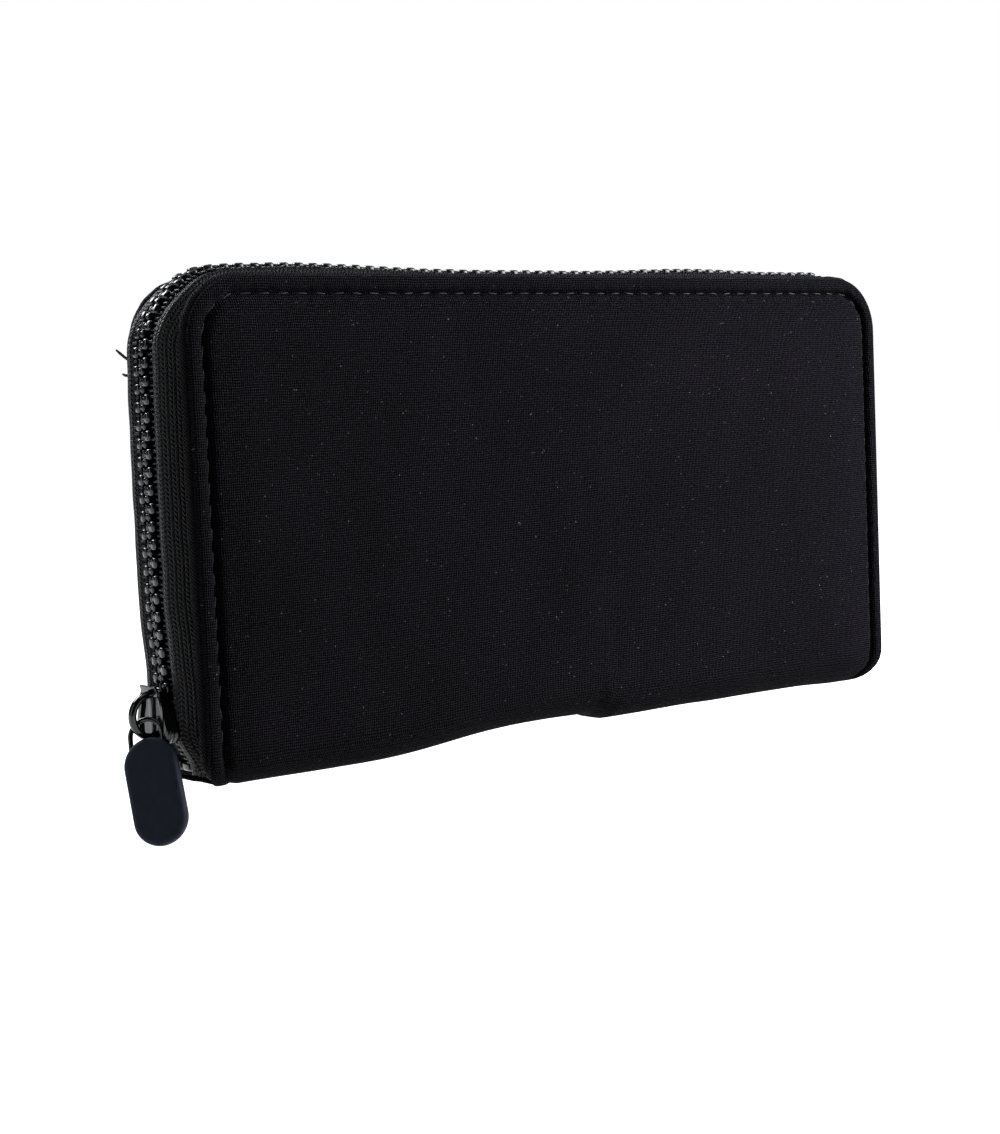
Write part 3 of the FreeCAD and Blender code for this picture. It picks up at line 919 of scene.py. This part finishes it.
# Geometry nodes: set one object along a curve that lies in the XZ plane, turned to follow it.
def rowGroup():
    group = bpy.data.node_groups.new("set along path", "GeometryNodeTree")
    sockets = {
        "Geometry": "Geometry",
        "Piece": "Object",
        "Pitch": "Float",
        "Start": "Float",
        "Jitter": "Float",
        "Seed": "Int",
        "Material": "Material",
    }
    for label, kind in sockets.items():
        group.interface.new_socket(label, in_out="INPUT", socket_type="NodeSocket" + kind)
    group.interface.new_socket("Geometry", in_out="OUTPUT", socket_type="NodeSocketGeometry")
    add, join = nodeTool(group)
    entry = add("NodeGroupInput")
    leave = add("NodeGroupOutput")
    trim = add("GeometryNodeTrimCurve", mode="LENGTH")
    join(entry.outputs["Geometry"], trim.inputs["Curve"])
    join(entry.outputs["Start"], trim.inputs[4])
    trim.inputs[5].default_value = 10.0
    even = add("GeometryNodeResampleCurve", mode="LENGTH")
    join(trim.outputs[0], even.inputs["Curve"])
    join(entry.outputs["Pitch"], even.inputs["Length"])
    tangent = add("GeometryNodeInputTangent")
    split = add("ShaderNodeSeparateXYZ")
    join(tangent.outputs[0], split.inputs[0])
    angle = add("ShaderNodeMath", operation="ARCTAN2")
    join(split.outputs["Z"], angle.inputs[0])
    join(split.outputs["X"], angle.inputs[1])
    turn = add("ShaderNodeMath", operation="MULTIPLY")
    turn.inputs[1].default_value = -1.0
    join(angle.outputs[0], turn.inputs[0])
    loose = add("FunctionNodeRandomValue", data_type="FLOAT_VECTOR")
    join(entry.outputs["Seed"], loose.inputs["Seed"])
    low = add("ShaderNodeMath", operation="MULTIPLY")
    low.inputs[1].default_value = -1.0
    join(entry.outputs["Jitter"], low.inputs[0])
    join(low.outputs[0], loose.inputs["Min"])
    join(entry.outputs["Jitter"], loose.inputs["Max"])
    euler = add("ShaderNodeCombineXYZ")
    join(turn.outputs[0], euler.inputs["Y"])
    total = add("ShaderNodeVectorMath", operation="ADD")
    join(euler.outputs[0], total.inputs[0])
    join(loose.outputs["Value"], total.inputs[1])
    source = add("GeometryNodeObjectInfo")
    join(entry.outputs["Piece"], source.inputs["Object"])
    place = add("GeometryNodeInstanceOnPoints")
    join(even.outputs[0], place.inputs["Points"])
    join(source.outputs["Geometry"], place.inputs["Instance"])
    toTurn = add("FunctionNodeEulerToRotation")
    join(total.outputs[0], toTurn.inputs[0])
    join(toTurn.outputs[0], place.inputs["Rotation"])
    real = add("GeometryNodeRealizeInstances")
    join(place.outputs[0], real.inputs[0])
    paint = add("GeometryNodeSetMaterial")
    join(real.outputs[0], paint.inputs["Geometry"])
    join(entry.outputs["Material"], paint.inputs["Material"])
    join(paint.outputs[0], leave.inputs[0])
    return group


alongPath = rowGroup()


# Copies of one piece along a path of (x, y, z) points in millimetres, as one plain mesh.
def setAlong(name, path, piece, pitch, start, jitter, seed, material):
    curve = bpy.data.curves.new(name + " path", "CURVE")
    curve.dimensions = "3D"
    line = curve.splines.new("POLY")
    line.points.add(len(path) - 1)
    for point, place in zip(line.points, path):
        point.co = (place[0] * mm, place[1] * mm, place[2] * mm, 1)
    carrier = bpy.data.objects.new(name + " carrier", curve)
    bpy.context.scene.collection.objects.link(carrier)
    worker = carrier.modifiers.new("row", "NODES")
    worker.node_group = alongPath
    values = {"Piece": piece, "Pitch": pitch * mm, "Start": start * mm}
    values.update({"Jitter": jitter, "Seed": seed, "Material": material})
    for item in alongPath.interface.items_tree:
        if item.in_out == "INPUT" and item.name in values:
            worker[item.identifier] = values[item.name]
    bpy.context.view_layer.update()
    graph = bpy.context.evaluated_depsgraph_get()
    mesh = bpy.data.meshes.new_from_object(carrier.evaluated_get(graph), depsgraph=graph)
    mesh.name = name
    mesh.polygons.foreach_set("use_smooth", [True] * len(mesh.polygons))
    if not mesh.materials:
        mesh.materials.append(material)
    bpy.data.objects.remove(carrier)
    result = bpy.data.objects.new(name, mesh)
    bpy.context.scene.collection.objects.link(result)
    return result


# Hidden master mesh, made by build(bmesh) in metres.
def template(name, build):
    work = bmesh.new()
    build(work)
    mesh = bpy.data.meshes.new(name)
    bmesh.ops.recalc_face_normals(work, faces=work.faces)
    work.to_mesh(mesh)
    work.free()
    master = bpy.data.objects.new(name, mesh)
    bpy.context.scene.collection.objects.link(master)
    return master


# Box between two corners in millimetres with rounded edges.
def roundedBlock(work, low, high, bevel, segments=2):
    made = bmesh.ops.create_cube(work, size=1.0)
    centre = (Vector(low) + Vector(high)) / 2 * mm
    size = (Vector(high) - Vector(low)) * mm
    for v in made["verts"]:
        v.co = Vector((v.co.x * size.x, v.co.y * size.y, v.co.z * size.z)) + centre
    edges = list({e for v in made["verts"] for e in v.link_edges})
    bmesh.ops.bevel(
        work, geom=edges, offset=bevel * mm, segments=segments, affect="EDGES", profile=0.5
    )


# A tooth's clamp, neck and head, and one cord loop of the tape beside it.
toothBlocks = [
    {"half": 1.05, "y": (0.85, 2.5), "z": (-1.2, 1.25), "bevel": 0.42},
    {"half": 0.55, "y": (-0.2, 1.2), "z": (-0.95, 1.0), "bevel": 0.25},
    {"half": 0.88, "y": (-0.72, 0.1), "z": (-1.0, 1.08), "bevel": 0.34},
]
loopBlocks = [{"half": 0.31, "y": (2.3, 4.2), "z": (-0.15, 0.48), "bevel": 0.24}]


def blockMaster(name, blocks, side):
    def build(work):
        for block in blocks:
            near, far = sorted(side * y for y in block["y"])
            low = (-block["half"], near, block["z"][0])
            high = (block["half"], far, block["z"][1])
            roundedBlock(work, low, high, block["bevel"])

    return template(name + " master " + str(side), build)


def stitchMaster(side):
    def build(work):
        bmesh.ops.create_uvsphere(work, u_segments=8, v_segments=7, radius=0.5)
        for v in work.verts:
            x, y, z = v.co.z, v.co.y, v.co.x
            size = Vector((x * stitch["length"], y * stitch["thick"], z * stitch["thick"]))
            v.co = size * mm

    return template("stitch master " + str(side), build)


hidden = []
zipRows = {}
chainLine = chainPath(0.7)
sliderTail = 17.6
lowStart = sliderTail - chain["foot"]
rowStop = [p for p in chainLine if not (p[0] > 0 and p[1] < 9.5)]
for side, label in ((-1, "front"), (1, "back")):
    tooth = blockMaster("tooth", toothBlocks, side)
    loopPiece = blockMaster("tape loop", loopBlocks, side)
    hidden += [tooth, loopPiece]
    path = [(x, 0.0, z) for x, z, ox, oz in rowStop]
    lag = chain["pitch"] / 4 * (1 + side)
    first = lowStart + lag
    zipRows[label] = setAlong(
        label + "_zip_teeth", path, tooth, chain["pitch"], first, 0.03, 7 + side, toothPlastic
    )
    loops = [(x, 0.0, z) for x, z, ox, oz in chainLine]
    zipRows[label + " loops"] = setAlong(
        label + "_tape_loops", loops, loopPiece, tape["loopPitch"], 1.5, 0.05, 17 + side, tapeCloth
    )
print("zip rows set", flush=True)

stitchRowsMade = {}
for side, label in ((-1, "front"), (1, "back")):
    master = stitchMaster(side)
    hidden.append(master)
    path = []
    for x, v, ox, ov in loopRun(stitch["inset"], 0.8):
        if v * side > 16.0:
            path.append(shellPoint(x, v, stitch["lift"]))
    if side == -1:
        jumps = [abs(b[2] - a[2]) + abs(b[0] - a[0]) for a, b in zip(path[-1:] + path, path)]
        start = jumps.index(max(jumps))
        path = path[start:] + path[:start]
    stitchRowsMade[label] = setAlong(
        label + "_seam_stitches", path, master, stitch["pitch"], 1.0, 0.10, 27 + side, threadCloth
    )

for master in hidden:
    bpy.data.objects.remove(master)


# Round closed strand through points in millimetres, with a radius at each.
def tubeMesh(name, path, radii, material, sides=10):
    points = []
    uvs = []
    run = 0.0
    count = len(path)
    for n, place in enumerate(path):
        here = Vector(place)
        ahead = Vector(path[min(count - 1, n + 1)]) - Vector(path[max(0, n - 1)])
        ahead.normalize()
        sideways = ahead.cross(Vector((0.31, 0.17, 0.93)))
        sideways.normalize()
        up = sideways.cross(ahead)
        if n:
            run += (here - Vector(path[n - 1])).length
        for k in range(sides):
            a = 2 * math.pi * k / sides
            points.append(tuple(here + (sideways * math.cos(a) + up * math.sin(a)) * radii[n]))
            uvs.append((run, a))
    faces = []
    for n in range(count - 1):
        for k in range(sides):
            j = (k + 1) % sides
            faces.append((n * sides + k, n * sides + j, (n + 1) * sides + j, (n + 1) * sides + k))
    faces.append(tuple(range(sides)))
    faces.append(tuple(range((count - 1) * sides, count * sides)))
    return meshPiece(name, points, faces, material, uvs)


# Several plain pieces made one, keeping their materials.
def joinPieces(name, parts):
    bpy.ops.object.select_all(action="DESELECT")
    for part in parts:
        part.select_set(True)
    bpy.context.view_layer.objects.active = parts[0]
    bpy.ops.object.join()
    parts[0].name = name
    return parts[0]


threadEnds = {
    "long": [(-97.2, 11.2, 84.2), (-97.9, 11.8, 84.9), (-98.6, 12.3, 85.7), (-99.2, 12.7, 86.4)],
    "short": [(-97.5, 11.2, 81.2), (-98.1, 11.6, 81.3), (-98.5, 11.9, 81.6)],
}
strands = []
for key, places in threadEnds.items():
    radii = [0.3] * (len(places) - 1) + [0.2]
    strands.append(tubeMesh("strand " + key, places, radii, threadCloth, 8))
threads = joinPieces("thread_ends", strands)

stopSize = {"half": 0.95, "out": 1.1, "inner": 0.2, "outer": 3.3, "bevel": 0.62}
endPatches = [
    sweepRim("end patch left", patchSection, tapeCloth, 0.8, lambda x, z: x < 0 and z < 10.4),
    sweepRim("end patch right", patchSection, tapeCloth, 0.8, lambda x, z: x > 0 and z < 10.4),
]
zipStops = {}
for side, label in ((-1, "front"), (1, "back")):
    blocks = []
    for end in (0, -1):
        x, z, ox, oz = chainPath(0.7)[end]
        work = bmesh.new()
        y = sorted((side * stopSize["inner"], side * stopSize["outer"]))
        low = (x - stopSize["out"], y[0], z + 0.6)
        high = (x + stopSize["out"], y[1], z + 0.6 + 2 * stopSize["half"])
        roundedBlock(work, low, high, stopSize["bevel"], 3)
        mesh = bpy.data.meshes.new("stop")
        work.to_mesh(mesh)
        work.free()
        mesh.polygons.foreach_set("use_smooth", [True] * len(mesh.polygons))
        mesh.materials.append(toothPlastic)
        block = bpy.data.objects.new("stop", mesh)
        bpy.context.scene.collection.objects.link(block)
        blocks.append(block)
    zipStops[label] = joinPieces(label + "_zip_stops", blocks)


endPatch = joinPieces("zip_end_patches", endPatches)


slider = {
    # One half of each plate as (y, z), from the tail round to the mouth
    "outline": [
        (2.4, 20.6),
        (3.5, 20.1),
        (3.9, 18.8),
        (4.5, 16.8),
        (6.0, 12.9),
        (6.0, 11.0),
        (5.0, 9.9),
        (3.4, 9.5),
    ],
    "rib": [(0.5, 10.7), (0.6, 15.0), (0.8, 19.0), (-0.8, 19.0), (-0.6, 15.0), (-0.5, 10.7)],
    "flare": [(3.3, 18.7), (2.9, 20.9), (-2.9, 20.9), (-3.3, 18.7)],
    "wedge": [(1.3, 16.6), (0.0, 19.6), (-1.3, 16.6), (0.0, 14.4)],
    # From x to x, for the plates and what stands on them
    "outer": (-102.35, -101.0),
    "inner": (-97.82, -96.85),
    "lipDepth": (-102.9, -101.9),
    "ribDepth": (-102.9, -102.0),
    "flareDepth": (-102.75, -102.0),
    "wedgeDepth": (-100.85, -97.75),
    "wallDepths": [(-101.3, -99.95), (-98.65, -97.6)],
    "bail": {"centre": -102.75, "z": 15.0, "radius": 4.15, "thick": 0.72, "half": 0.9},
}


# Slab between two x planes with its (y, z) outline and rounded rims.
def outlineSlab(work, outline, x0, x1, bevel):
    rings = [[work.verts.new((x * mm, y * mm, z * mm)) for y, z in outline] for x in (x0, x1)]
    count = len(outline)
    caps = [work.faces.new(rings[0]), work.faces.new(rings[1][::-1])]
    for n in range(count):
        m = (n + 1) % count
        work.faces.new((rings[0][n], rings[0][m], rings[1][m], rings[1][n]))
    edges = list({e for cap in caps for e in cap.edges})
    bmesh.ops.bevel(work, geom=edges, offset=bevel * mm, segments=3, affect="EDGES", profile=0.5)


def sliderBody():
    work = bmesh.new()
    half = slider["outline"]
    whole = half + [(-y, z) for y, z in reversed(half)]
    outlineSlab(work, whole, *slider["outer"], 0.34)
    outlineSlab(work, whole, *slider["inner"], 0.3)
    edge = half[1:7]
    for side in (-1, 1):
        lip = [(side * y, z) for y, z in edge]
        lip += [(side * (y - 1.0), z) for y, z in reversed(edge)]
        if side < 0:
            lip.reverse()
        outlineSlab(work, lip, *slider["lipDepth"], 0.28)
        low = half[3:7]
        wall = [(side * (y - 0.05), z) for y, z in low]
        wall += [(side * (y - 0.95), z) for y, z in reversed(low)]
        if side < 0:
            wall.reverse()
        for depth in slider["wallDepths"]:
            outlineSlab(work, wall, *depth, 0.12)
    outlineSlab(work, slider["rib"], *slider["ribDepth"], 0.25)
    before = set(work.verts)
    outlineSlab(work, slider["flare"], *slider["flareDepth"], 0.22)
    for v in set(work.verts) - before:
        v.co.x -= 0.42 * max(0.0, v.co.z - 18.9 * mm)
    outlineSlab(work, slider["wedge"], *slider["wedgeDepth"], 0.2)
    return finishWork(work, "slider body mesh", sliderPaint)


def finishWork(work, name, material):
    bmesh.ops.recalc_face_normals(work, faces=work.faces)
    mesh = bpy.data.meshes.new(name)
    work.to_mesh(mesh)
    work.free()
    mesh.polygons.foreach_set("use_smooth", [True] * len(mesh.polygons))
    mesh.set_sharp_from_angle(angle=math.radians(38))
    mesh.materials.append(material)
    piece = bpy.data.objects.new(name, mesh)
    bpy.context.scene.collection.objects.link(piece)
    return piece


def sliderBail():
    bail = slider["bail"]
    cx, cz, radius = bail["centre"], bail["z"], bail["radius"]
    path = [(-101.2, cz + radius), (-101.9, cz + radius)]
    bends = [math.pi * n / 28 for n in range(29)]
    path += [(cx - radius * math.sin(a), cz + radius * math.cos(a)) for a in bends]
    path += [(-101.9, cz - radius), (-101.2, cz - radius)]
    work = bmesh.new()
    sides = 16
    rings = []
    for n, (x, z) in enumerate(path):
        ahead = path[min(len(path) - 1, n + 1)]
        behind = path[max(0, n - 1)]
        tx, tz = ahead[0] - behind[0], ahead[1] - behind[1]
        size = math.hypot(tx, tz)
        nx, nz = -tz / size, tx / size
        foot = smooth(-103.6, -101.9, x)
        ring = []
        for k in range(sides):
            a = 2 * math.pi * k / sides
            c, q = math.cos(a), math.sin(a)
            off = bail["thick"] * math.copysign(abs(c) ** 0.8, c)
            y = (bail["half"] + 0.45 * foot) * math.copysign(abs(q) ** 0.8, q)
            ring.append(work.verts.new(((x + nx * off) * mm, y * mm, (z + nz * off) * mm)))
        rings.append(ring)
    for n in range(len(rings) - 1):
        for k in range(sides):
            j = (k + 1) % sides
            work.faces.new((rings[n][k], rings[n][j], rings[n + 1][j], rings[n + 1][k]))
    work.faces.new(rings[0])
    work.faces.new(rings[-1][::-1])
    return finishWork(work, "slider bail mesh", sliderPaint)


zipSlider = joinPieces("zip_slider", [sliderBody(), sliderBail()])
print("slider made", flush=True)


# Flat cloth between limits in millimetres; seen is the y side that shows, hem the turned top
# edge.
def clothPanel(name, x, y, z, material, seen, hem=0.0, puff=0.0, step=3.0):
    columns = max(4, int((x[1] - x[0]) / step))
    rows = max(4, int((z[1] - z[0]) / step))
    points = []
    uvs = []
    middle = (y[0] + y[1]) / 2
    half = (y[1] - y[0]) / 2
    for face in (1, -1):
        for r in range(rows + 1):
            t = r / rows
            for c in range(columns + 1):
                u = c / columns
                px = x[0] + (x[1] - x[0]) * u
                pz = z[0] + (z[1] - z[0]) * t
                edge = min(u, 1 - u) * (x[1] - x[0])
                top = (1 - t) * (z[1] - z[0])
                soft = smooth(0, 1.0, edge)
                rise = puff * smooth(1, 26, edge) * smooth(0, 20, pz - z[0]) * smooth(0, 10, top)
                rise += 0.05 * wave(px, pz, middle, 11.0, middle)
                if hem:
                    rise += 0.10 * (1 - smooth(hem - 0.5, hem, top)) + 0.05 * bump(top, hem, 0.4)
                off = half * (0.45 + 0.55 * soft) * face + seen * rise
                points.append((px, middle + off, pz))
                uvs.append((px, pz))
    wide = columns + 1
    layer = wide * (rows + 1)
    faces = []
    for r in range(rows):
        for c in range(columns):
            a = r * wide + c
            faces.append((a, a + 1, a + wide + 1, a + wide))
            faces.append((layer + a, layer + a + wide, layer + a + wide + 1, layer + a + 1))
    for c in range(columns):
        last = rows * wide + c
        faces.append((c, layer + c, layer + c + 1, c + 1))
        faces.append((last, last + 1, layer + last + 1, layer + last))
    for r in range(rows):
        a = r * wide
        b = a + columns
        faces.append((a, a + wide, layer + a + wide, layer + a))
        faces.append((b, layer + b, layer + b + wide, b + wide))
    return meshPiece(name, points, faces, material, uvs)


lining = {"inset": 8.4, "outer": -1.56, "inner": -2.1}


def liningFace(x, v):
    return lining["inner"] + 0.05 * wave(x, v, 9, 12.0)


liningPoints, liningFaces, liningUvs = slabOverFold(
    lining["inset"], 2.6, lambda x, v: lining["outer"], liningFace
)
innerLining = meshPiece("lining", liningPoints, liningFaces, liningCloth, liningUvs)

card = {"half": 75.5, "bottom": 8.0, "top": 84.0, "step": 12.0, "wall": 0.5, "face": 7.9}
cardTiers = []
for number in range(4):
    outer = -card["face"] + number * card["wall"]
    span = (outer + 0.03, outer + card["wall"] - 0.05)
    high = card["top"] - number * card["step"]
    cardTiers.append(
        clothPanel(
            "card_slot_" + str(number + 1),
            (-card["half"], card["half"]),
            span,
            (card["bottom"], high),
            cardCloth,
            1,
            3.0,
        )
    )

coin = {
    "span": (-75.5, 75.5),
    "wallY": (5.45, 6.0),
    "wallZ": (8.0, 72.4),
    "bandY": (5.45, 7.8),
    "bandZ": (83.6, 90.0),
    "tapeY": (6.05, 6.45),
    "tapeLowZ": (71.0, 76.05),
    "tapeHighZ": (79.95, 84.0),
    "coilX": (-70.7, 57.5),
    "coilPitch": 0.62,
}
coinPocket = clothPanel(
    "coin_pocket_panel", coin["span"], coin["wallY"], coin["wallZ"], cardCloth, -1, 2.5, 0.25
)
coinFacing = clothPanel(
    "coin_pocket_band", coin["span"], coin["bandY"], coin["bandZ"], cardCloth, -1
)
coinTapes = joinPieces(
    "coin_zip_tapes",
    [
        clothPanel("coin tape", coin["span"], coin["tapeY"], coin[key], tapeCloth, -1)
        for key in ("tapeLowZ", "tapeHighZ")
    ],
)


def coilMaster(side):
    def build(work):
        rings = 8
        sides = 6
        loops = []
        for n in range(rings + 1):
            a = math.pi * n / rings
            y = 0.55 * math.cos(a)
            z = side * (0.15 + 1.45 * math.sin(a) ** 0.8)
            slant = 0.12 * math.cos(a)
            ring = []
            for k in range(sides):
                b = 2 * math.pi * k / sides
                reach = Vector((0, math.cos(a), side * math.sin(a))) * (0.16 * math.sin(b))
                place = Vector((slant + 0.16 * math.cos(b), y, z)) + reach
                ring.append(work.verts.new(place * mm))
            loops.append(ring)
        for n in range(rings):
            for k in range(sides):
                j = (k + 1) % sides
                work.faces.new((loops[n][k], loops[n][j], loops[n + 1][j], loops[n + 1][k]))
        work.faces.new(loops[0])
        work.faces.new(loops[-1][::-1])

    return template("coil master " + str(side), build)


coinCoils = []
for side in (-1, 1):
    master = coilMaster(side)
    line = [(x, 6.25, 78.0) for x in coin["coilX"]]
    pitch = coin["coilPitch"]
    first = pitch / 2 * (1 + side) / 2 + 0.01
    coinCoils.append(setAlong("coil", line, master, pitch, first, 0.02, 40, toothPlastic))
    bpy.data.objects.remove(master)
coinCoil = joinPieces("coin_zip_coil", coinCoils)


gusset = {
    "rootX": 87.2,
    "deep": 9.0,
    "wall": 0.55,
    "reachY": 7.35,
    "low": 4.9,
    "high": 84.0,
    "steps": 26,
    "rows": 36,
}


# End gusset: a cloth wall folded inwards between the two covers.
def gussetMesh(side):
    root = side * gusset["rootX"]
    deep = gusset["deep"]
    ring = []
    steps = gusset["steps"]
    for wall in (0, 1):
        line = []
        for k in range(steps + 1):
            t = -1 + 2 * k / steps
            fold = 1 - abs(t) ** 1.25
            reach = gusset["reachY"] * t * (1 if wall == 0 else 0.995)
            line.append((root - side * (deep * fold + gusset["wall"] * wall), reach))
        ring += line if wall == 0 else line[::-1]
    rows = gusset["rows"]
    points = []
    uvs = []
    for r in range(rows + 1):
        z = gusset["low"] + (gusset["high"] - gusset["low"]) * r / rows
        for n, (x, y) in enumerate(ring):
            soft = 0.35 * wave(y * 0.8, z, side, 9.0, 6.0) * (1 - abs(y) / 8)
            points.append((x + soft, y, z))
            uvs.append((y, z))
    sides = len(ring)
    faces = []
    for r in range(rows):
        for k in range(sides):
            j = (k + 1) % sides
            faces.append((r * sides + k, r * sides + j, (r + 1) * sides + j, (r + 1) * sides + k))
    faces.append(tuple(range(sides)))
    faces.append(tuple(range(rows * sides, (rows + 1) * sides)))
    return points, faces, uvs


gussets = {}
for side, label in ((-1, "left"), (1, "right")):
    points, faces, uvs = gussetMesh(side)
    gussets[label] = meshPiece(label + "_end_gusset", points, faces, liningCloth, uvs)
print("interior made", flush=True)


nodes = frame["nodes"]


def paint(names, material):
    for name in names:
        for place in nodes[name].material_slots:
            place.material = material


paint(["pull_ring", "coin_slider_body", "coin_slider_bail"], sliderPaint)
paint(["coin_pull_tab", "coin_stops"], sliderPaint)
paint(["pull_tab"], pullRubber)

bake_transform(shell)
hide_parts("front_panel", "back_panel", "spine_panel")
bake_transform(edgeBinding)
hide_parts("front_binding", "back_binding")
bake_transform(innerLining)
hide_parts("front_lining", "back_lining", "spine_lining")

for label, tapePiece in (("front", tapeFront), ("back", tapeBack)):
    cover = label + "_cover"
    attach(tapePiece, cover)
    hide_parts("zip_tape_" + label)
    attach(zipRows[label], cover)
    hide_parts("zip_teeth_" + label)
    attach(zipRows[label + " loops"], cover)
    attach(zipStops[label], cover)
    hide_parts("zip_stops_" + label)
    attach(stitchRowsMade[label], cover)
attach(zipSlider, "slider")
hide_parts("slider_body", "slider_bail")
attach(endPatch, "back_cover")
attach(threads, "back_cover")

for number, tier in enumerate(cardTiers):
    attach(tier, "front_cover")
    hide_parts("card_tier_" + str(number + 1))
    high = card["top"] - number * card["step"] - card["bottom"]
for piece, names, kind in (
    (coinPocket, ("coin_pocket_wall",), "card_fabric"),
    (coinFacing, ("coin_pocket_facing",), "card_fabric"),
    (coinTapes, ("coin_tape_lower", "coin_tape_upper"), "tape"),
    (coinCoil, ("coin_coil_lower", "coin_coil_upper"), "teeth"),
):
    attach(piece, "back_cover")
    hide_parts(*names)
for label, piece in gussets.items():
    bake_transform(piece)
    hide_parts(label + "_gusset")


stage = {
    "floorZ": -0.0112,
    "floorSize": 6.0,
    "floorTone": 0.7,
    "floorGlow": 1.0,
    "roomLight": 0.03,
    "backdrop": 1.0,
}
floorMesh = bpy.data.meshes.new("floor")
half, level = stage["floorSize"] / 2, stage["floorZ"]
corners = [(-half, -half, level), (half, -half, level), (half, half, level), (-half, half, level)]
floorMesh.from_pydata(corners, [], [(0, 1, 2, 3)])
floor = bpy.data.objects.new("floor", floorMesh)
bpy.context.scene.collection.objects.link(floor)
floorPaint, floorShader = newMaterial("floor paint")
tone = stage["floorTone"]
floorShader.inputs["Base Color"].default_value = (tone, tone, tone, 1)
floorShader.inputs["Roughness"].default_value = 0.9
floorShader.inputs["Specular IOR Level"].default_value = 0.1
floorShader.inputs["Emission Color"].default_value = (1, 1, 1, 1)
floorShader.inputs["Emission Strength"].default_value = stage["floorGlow"]
floorMesh.materials.append(floorPaint)
floor.visible_diffuse = False  # the bright floor doesn't light the cloth from below

world = bpy.data.worlds.new("soft room")
bpy.context.scene.world = world
world.use_nodes = True
add, join = nodeTool(world.node_tree)
background = world.node_tree.nodes["Background"]
path = add("ShaderNodeLightPath")
level = add("ShaderNodeMapRange")
level.inputs["To Min"].default_value = stage["roomLight"]
level.inputs["To Max"].default_value = stage["backdrop"]
join(path.outputs["Is Camera Ray"], level.inputs["Value"])
join(level.outputs[0], background.inputs["Strength"])
background.inputs["Color"].default_value = (1, 1, 1, 1)


def softbox(name, place, target, size, power, colour):
    light = bpy.data.lights.new(name, "AREA")
    light.shape = "RECTANGLE"
    light.size, light.size_y = size
    light.energy = power
    light.color = colour
    lamp = bpy.data.objects.new(name, light)
    bpy.context.scene.collection.objects.link(lamp)
    lamp.location = place
    lamp.rotation_euler = (Vector(target) - Vector(place)).to_track_quat("-Z", "Y").to_euler()


boxes = {
    "right front box": {
        "place": (0.40, -0.27, 0.26),
        "target": (0.05, 0.0, 0.05),
        "size": (0.3, 0.4),
        "power": 4.7,
        "colour": (0.96, 0.97, 1.0),
    },
    "top box": {
        "place": (0.0, -0.1, 1.1),
        "target": (0.0, 0.0, 0.05),
        "size": (1.0, 0.7),
        "power": 4.2,
        "colour": (1, 1, 1),
    },
    "left box": {
        "place": (-1.0, 0.22, 0.35),
        "target": (-0.1, 0.0, 0.05),
        "size": (0.2, 0.8),
        "power": 2.9,
        "colour": (0.9, 0.95, 1.0),
    },
    "high back box": {
        "place": (-0.25, 0.85, 0.75),
        "target": (-0.1, 0.0, 0.08),
        "size": (0.5, 0.4),
        "power": 10,
        "colour": (0.9, 0.95, 1.0),
    },
}
for name, box in boxes.items():
    softbox(name, **box)
print("stage and light set", flush=True)

cameraSet = {
    "turn": 38.5,
    "down": 4.45,
    "roll": -2.36,
    "place": (-0.2993, -0.3579, 0.0725),
    "lens": 66.19,
}
theta, p, rho = (math.radians(cameraSet[k]) for k in ("turn", "down", "roll"))
ahead = Vector((math.sin(theta) * math.cos(p), math.cos(theta) * math.cos(p), -math.sin(p)))
flatRight = Vector((math.cos(theta), -math.sin(theta), 0))
flatUp = flatRight.cross(ahead)
right = flatRight * math.cos(rho) + flatUp * math.sin(rho)
up = -flatRight * math.sin(rho) + flatUp * math.cos(rho)
lens = bpy.data.cameras.new("camera")
lens.lens = cameraSet["lens"]
lens.sensor_width = 36.0
lens.clip_start = 0.01
camera = bpy.data.objects.new("camera", lens)
bpy.context.scene.collection.objects.link(camera)
turn = Matrix((right, up, -ahead)).transposed().to_4x4()
camera.matrix_world = Matrix.Translation(cameraSet["place"]) @ turn
bpy.context.scene.camera = camera
bpy.context.scene.view_settings.view_transform = "Standard"
bpy.context.scene.view_settings.look = "None"
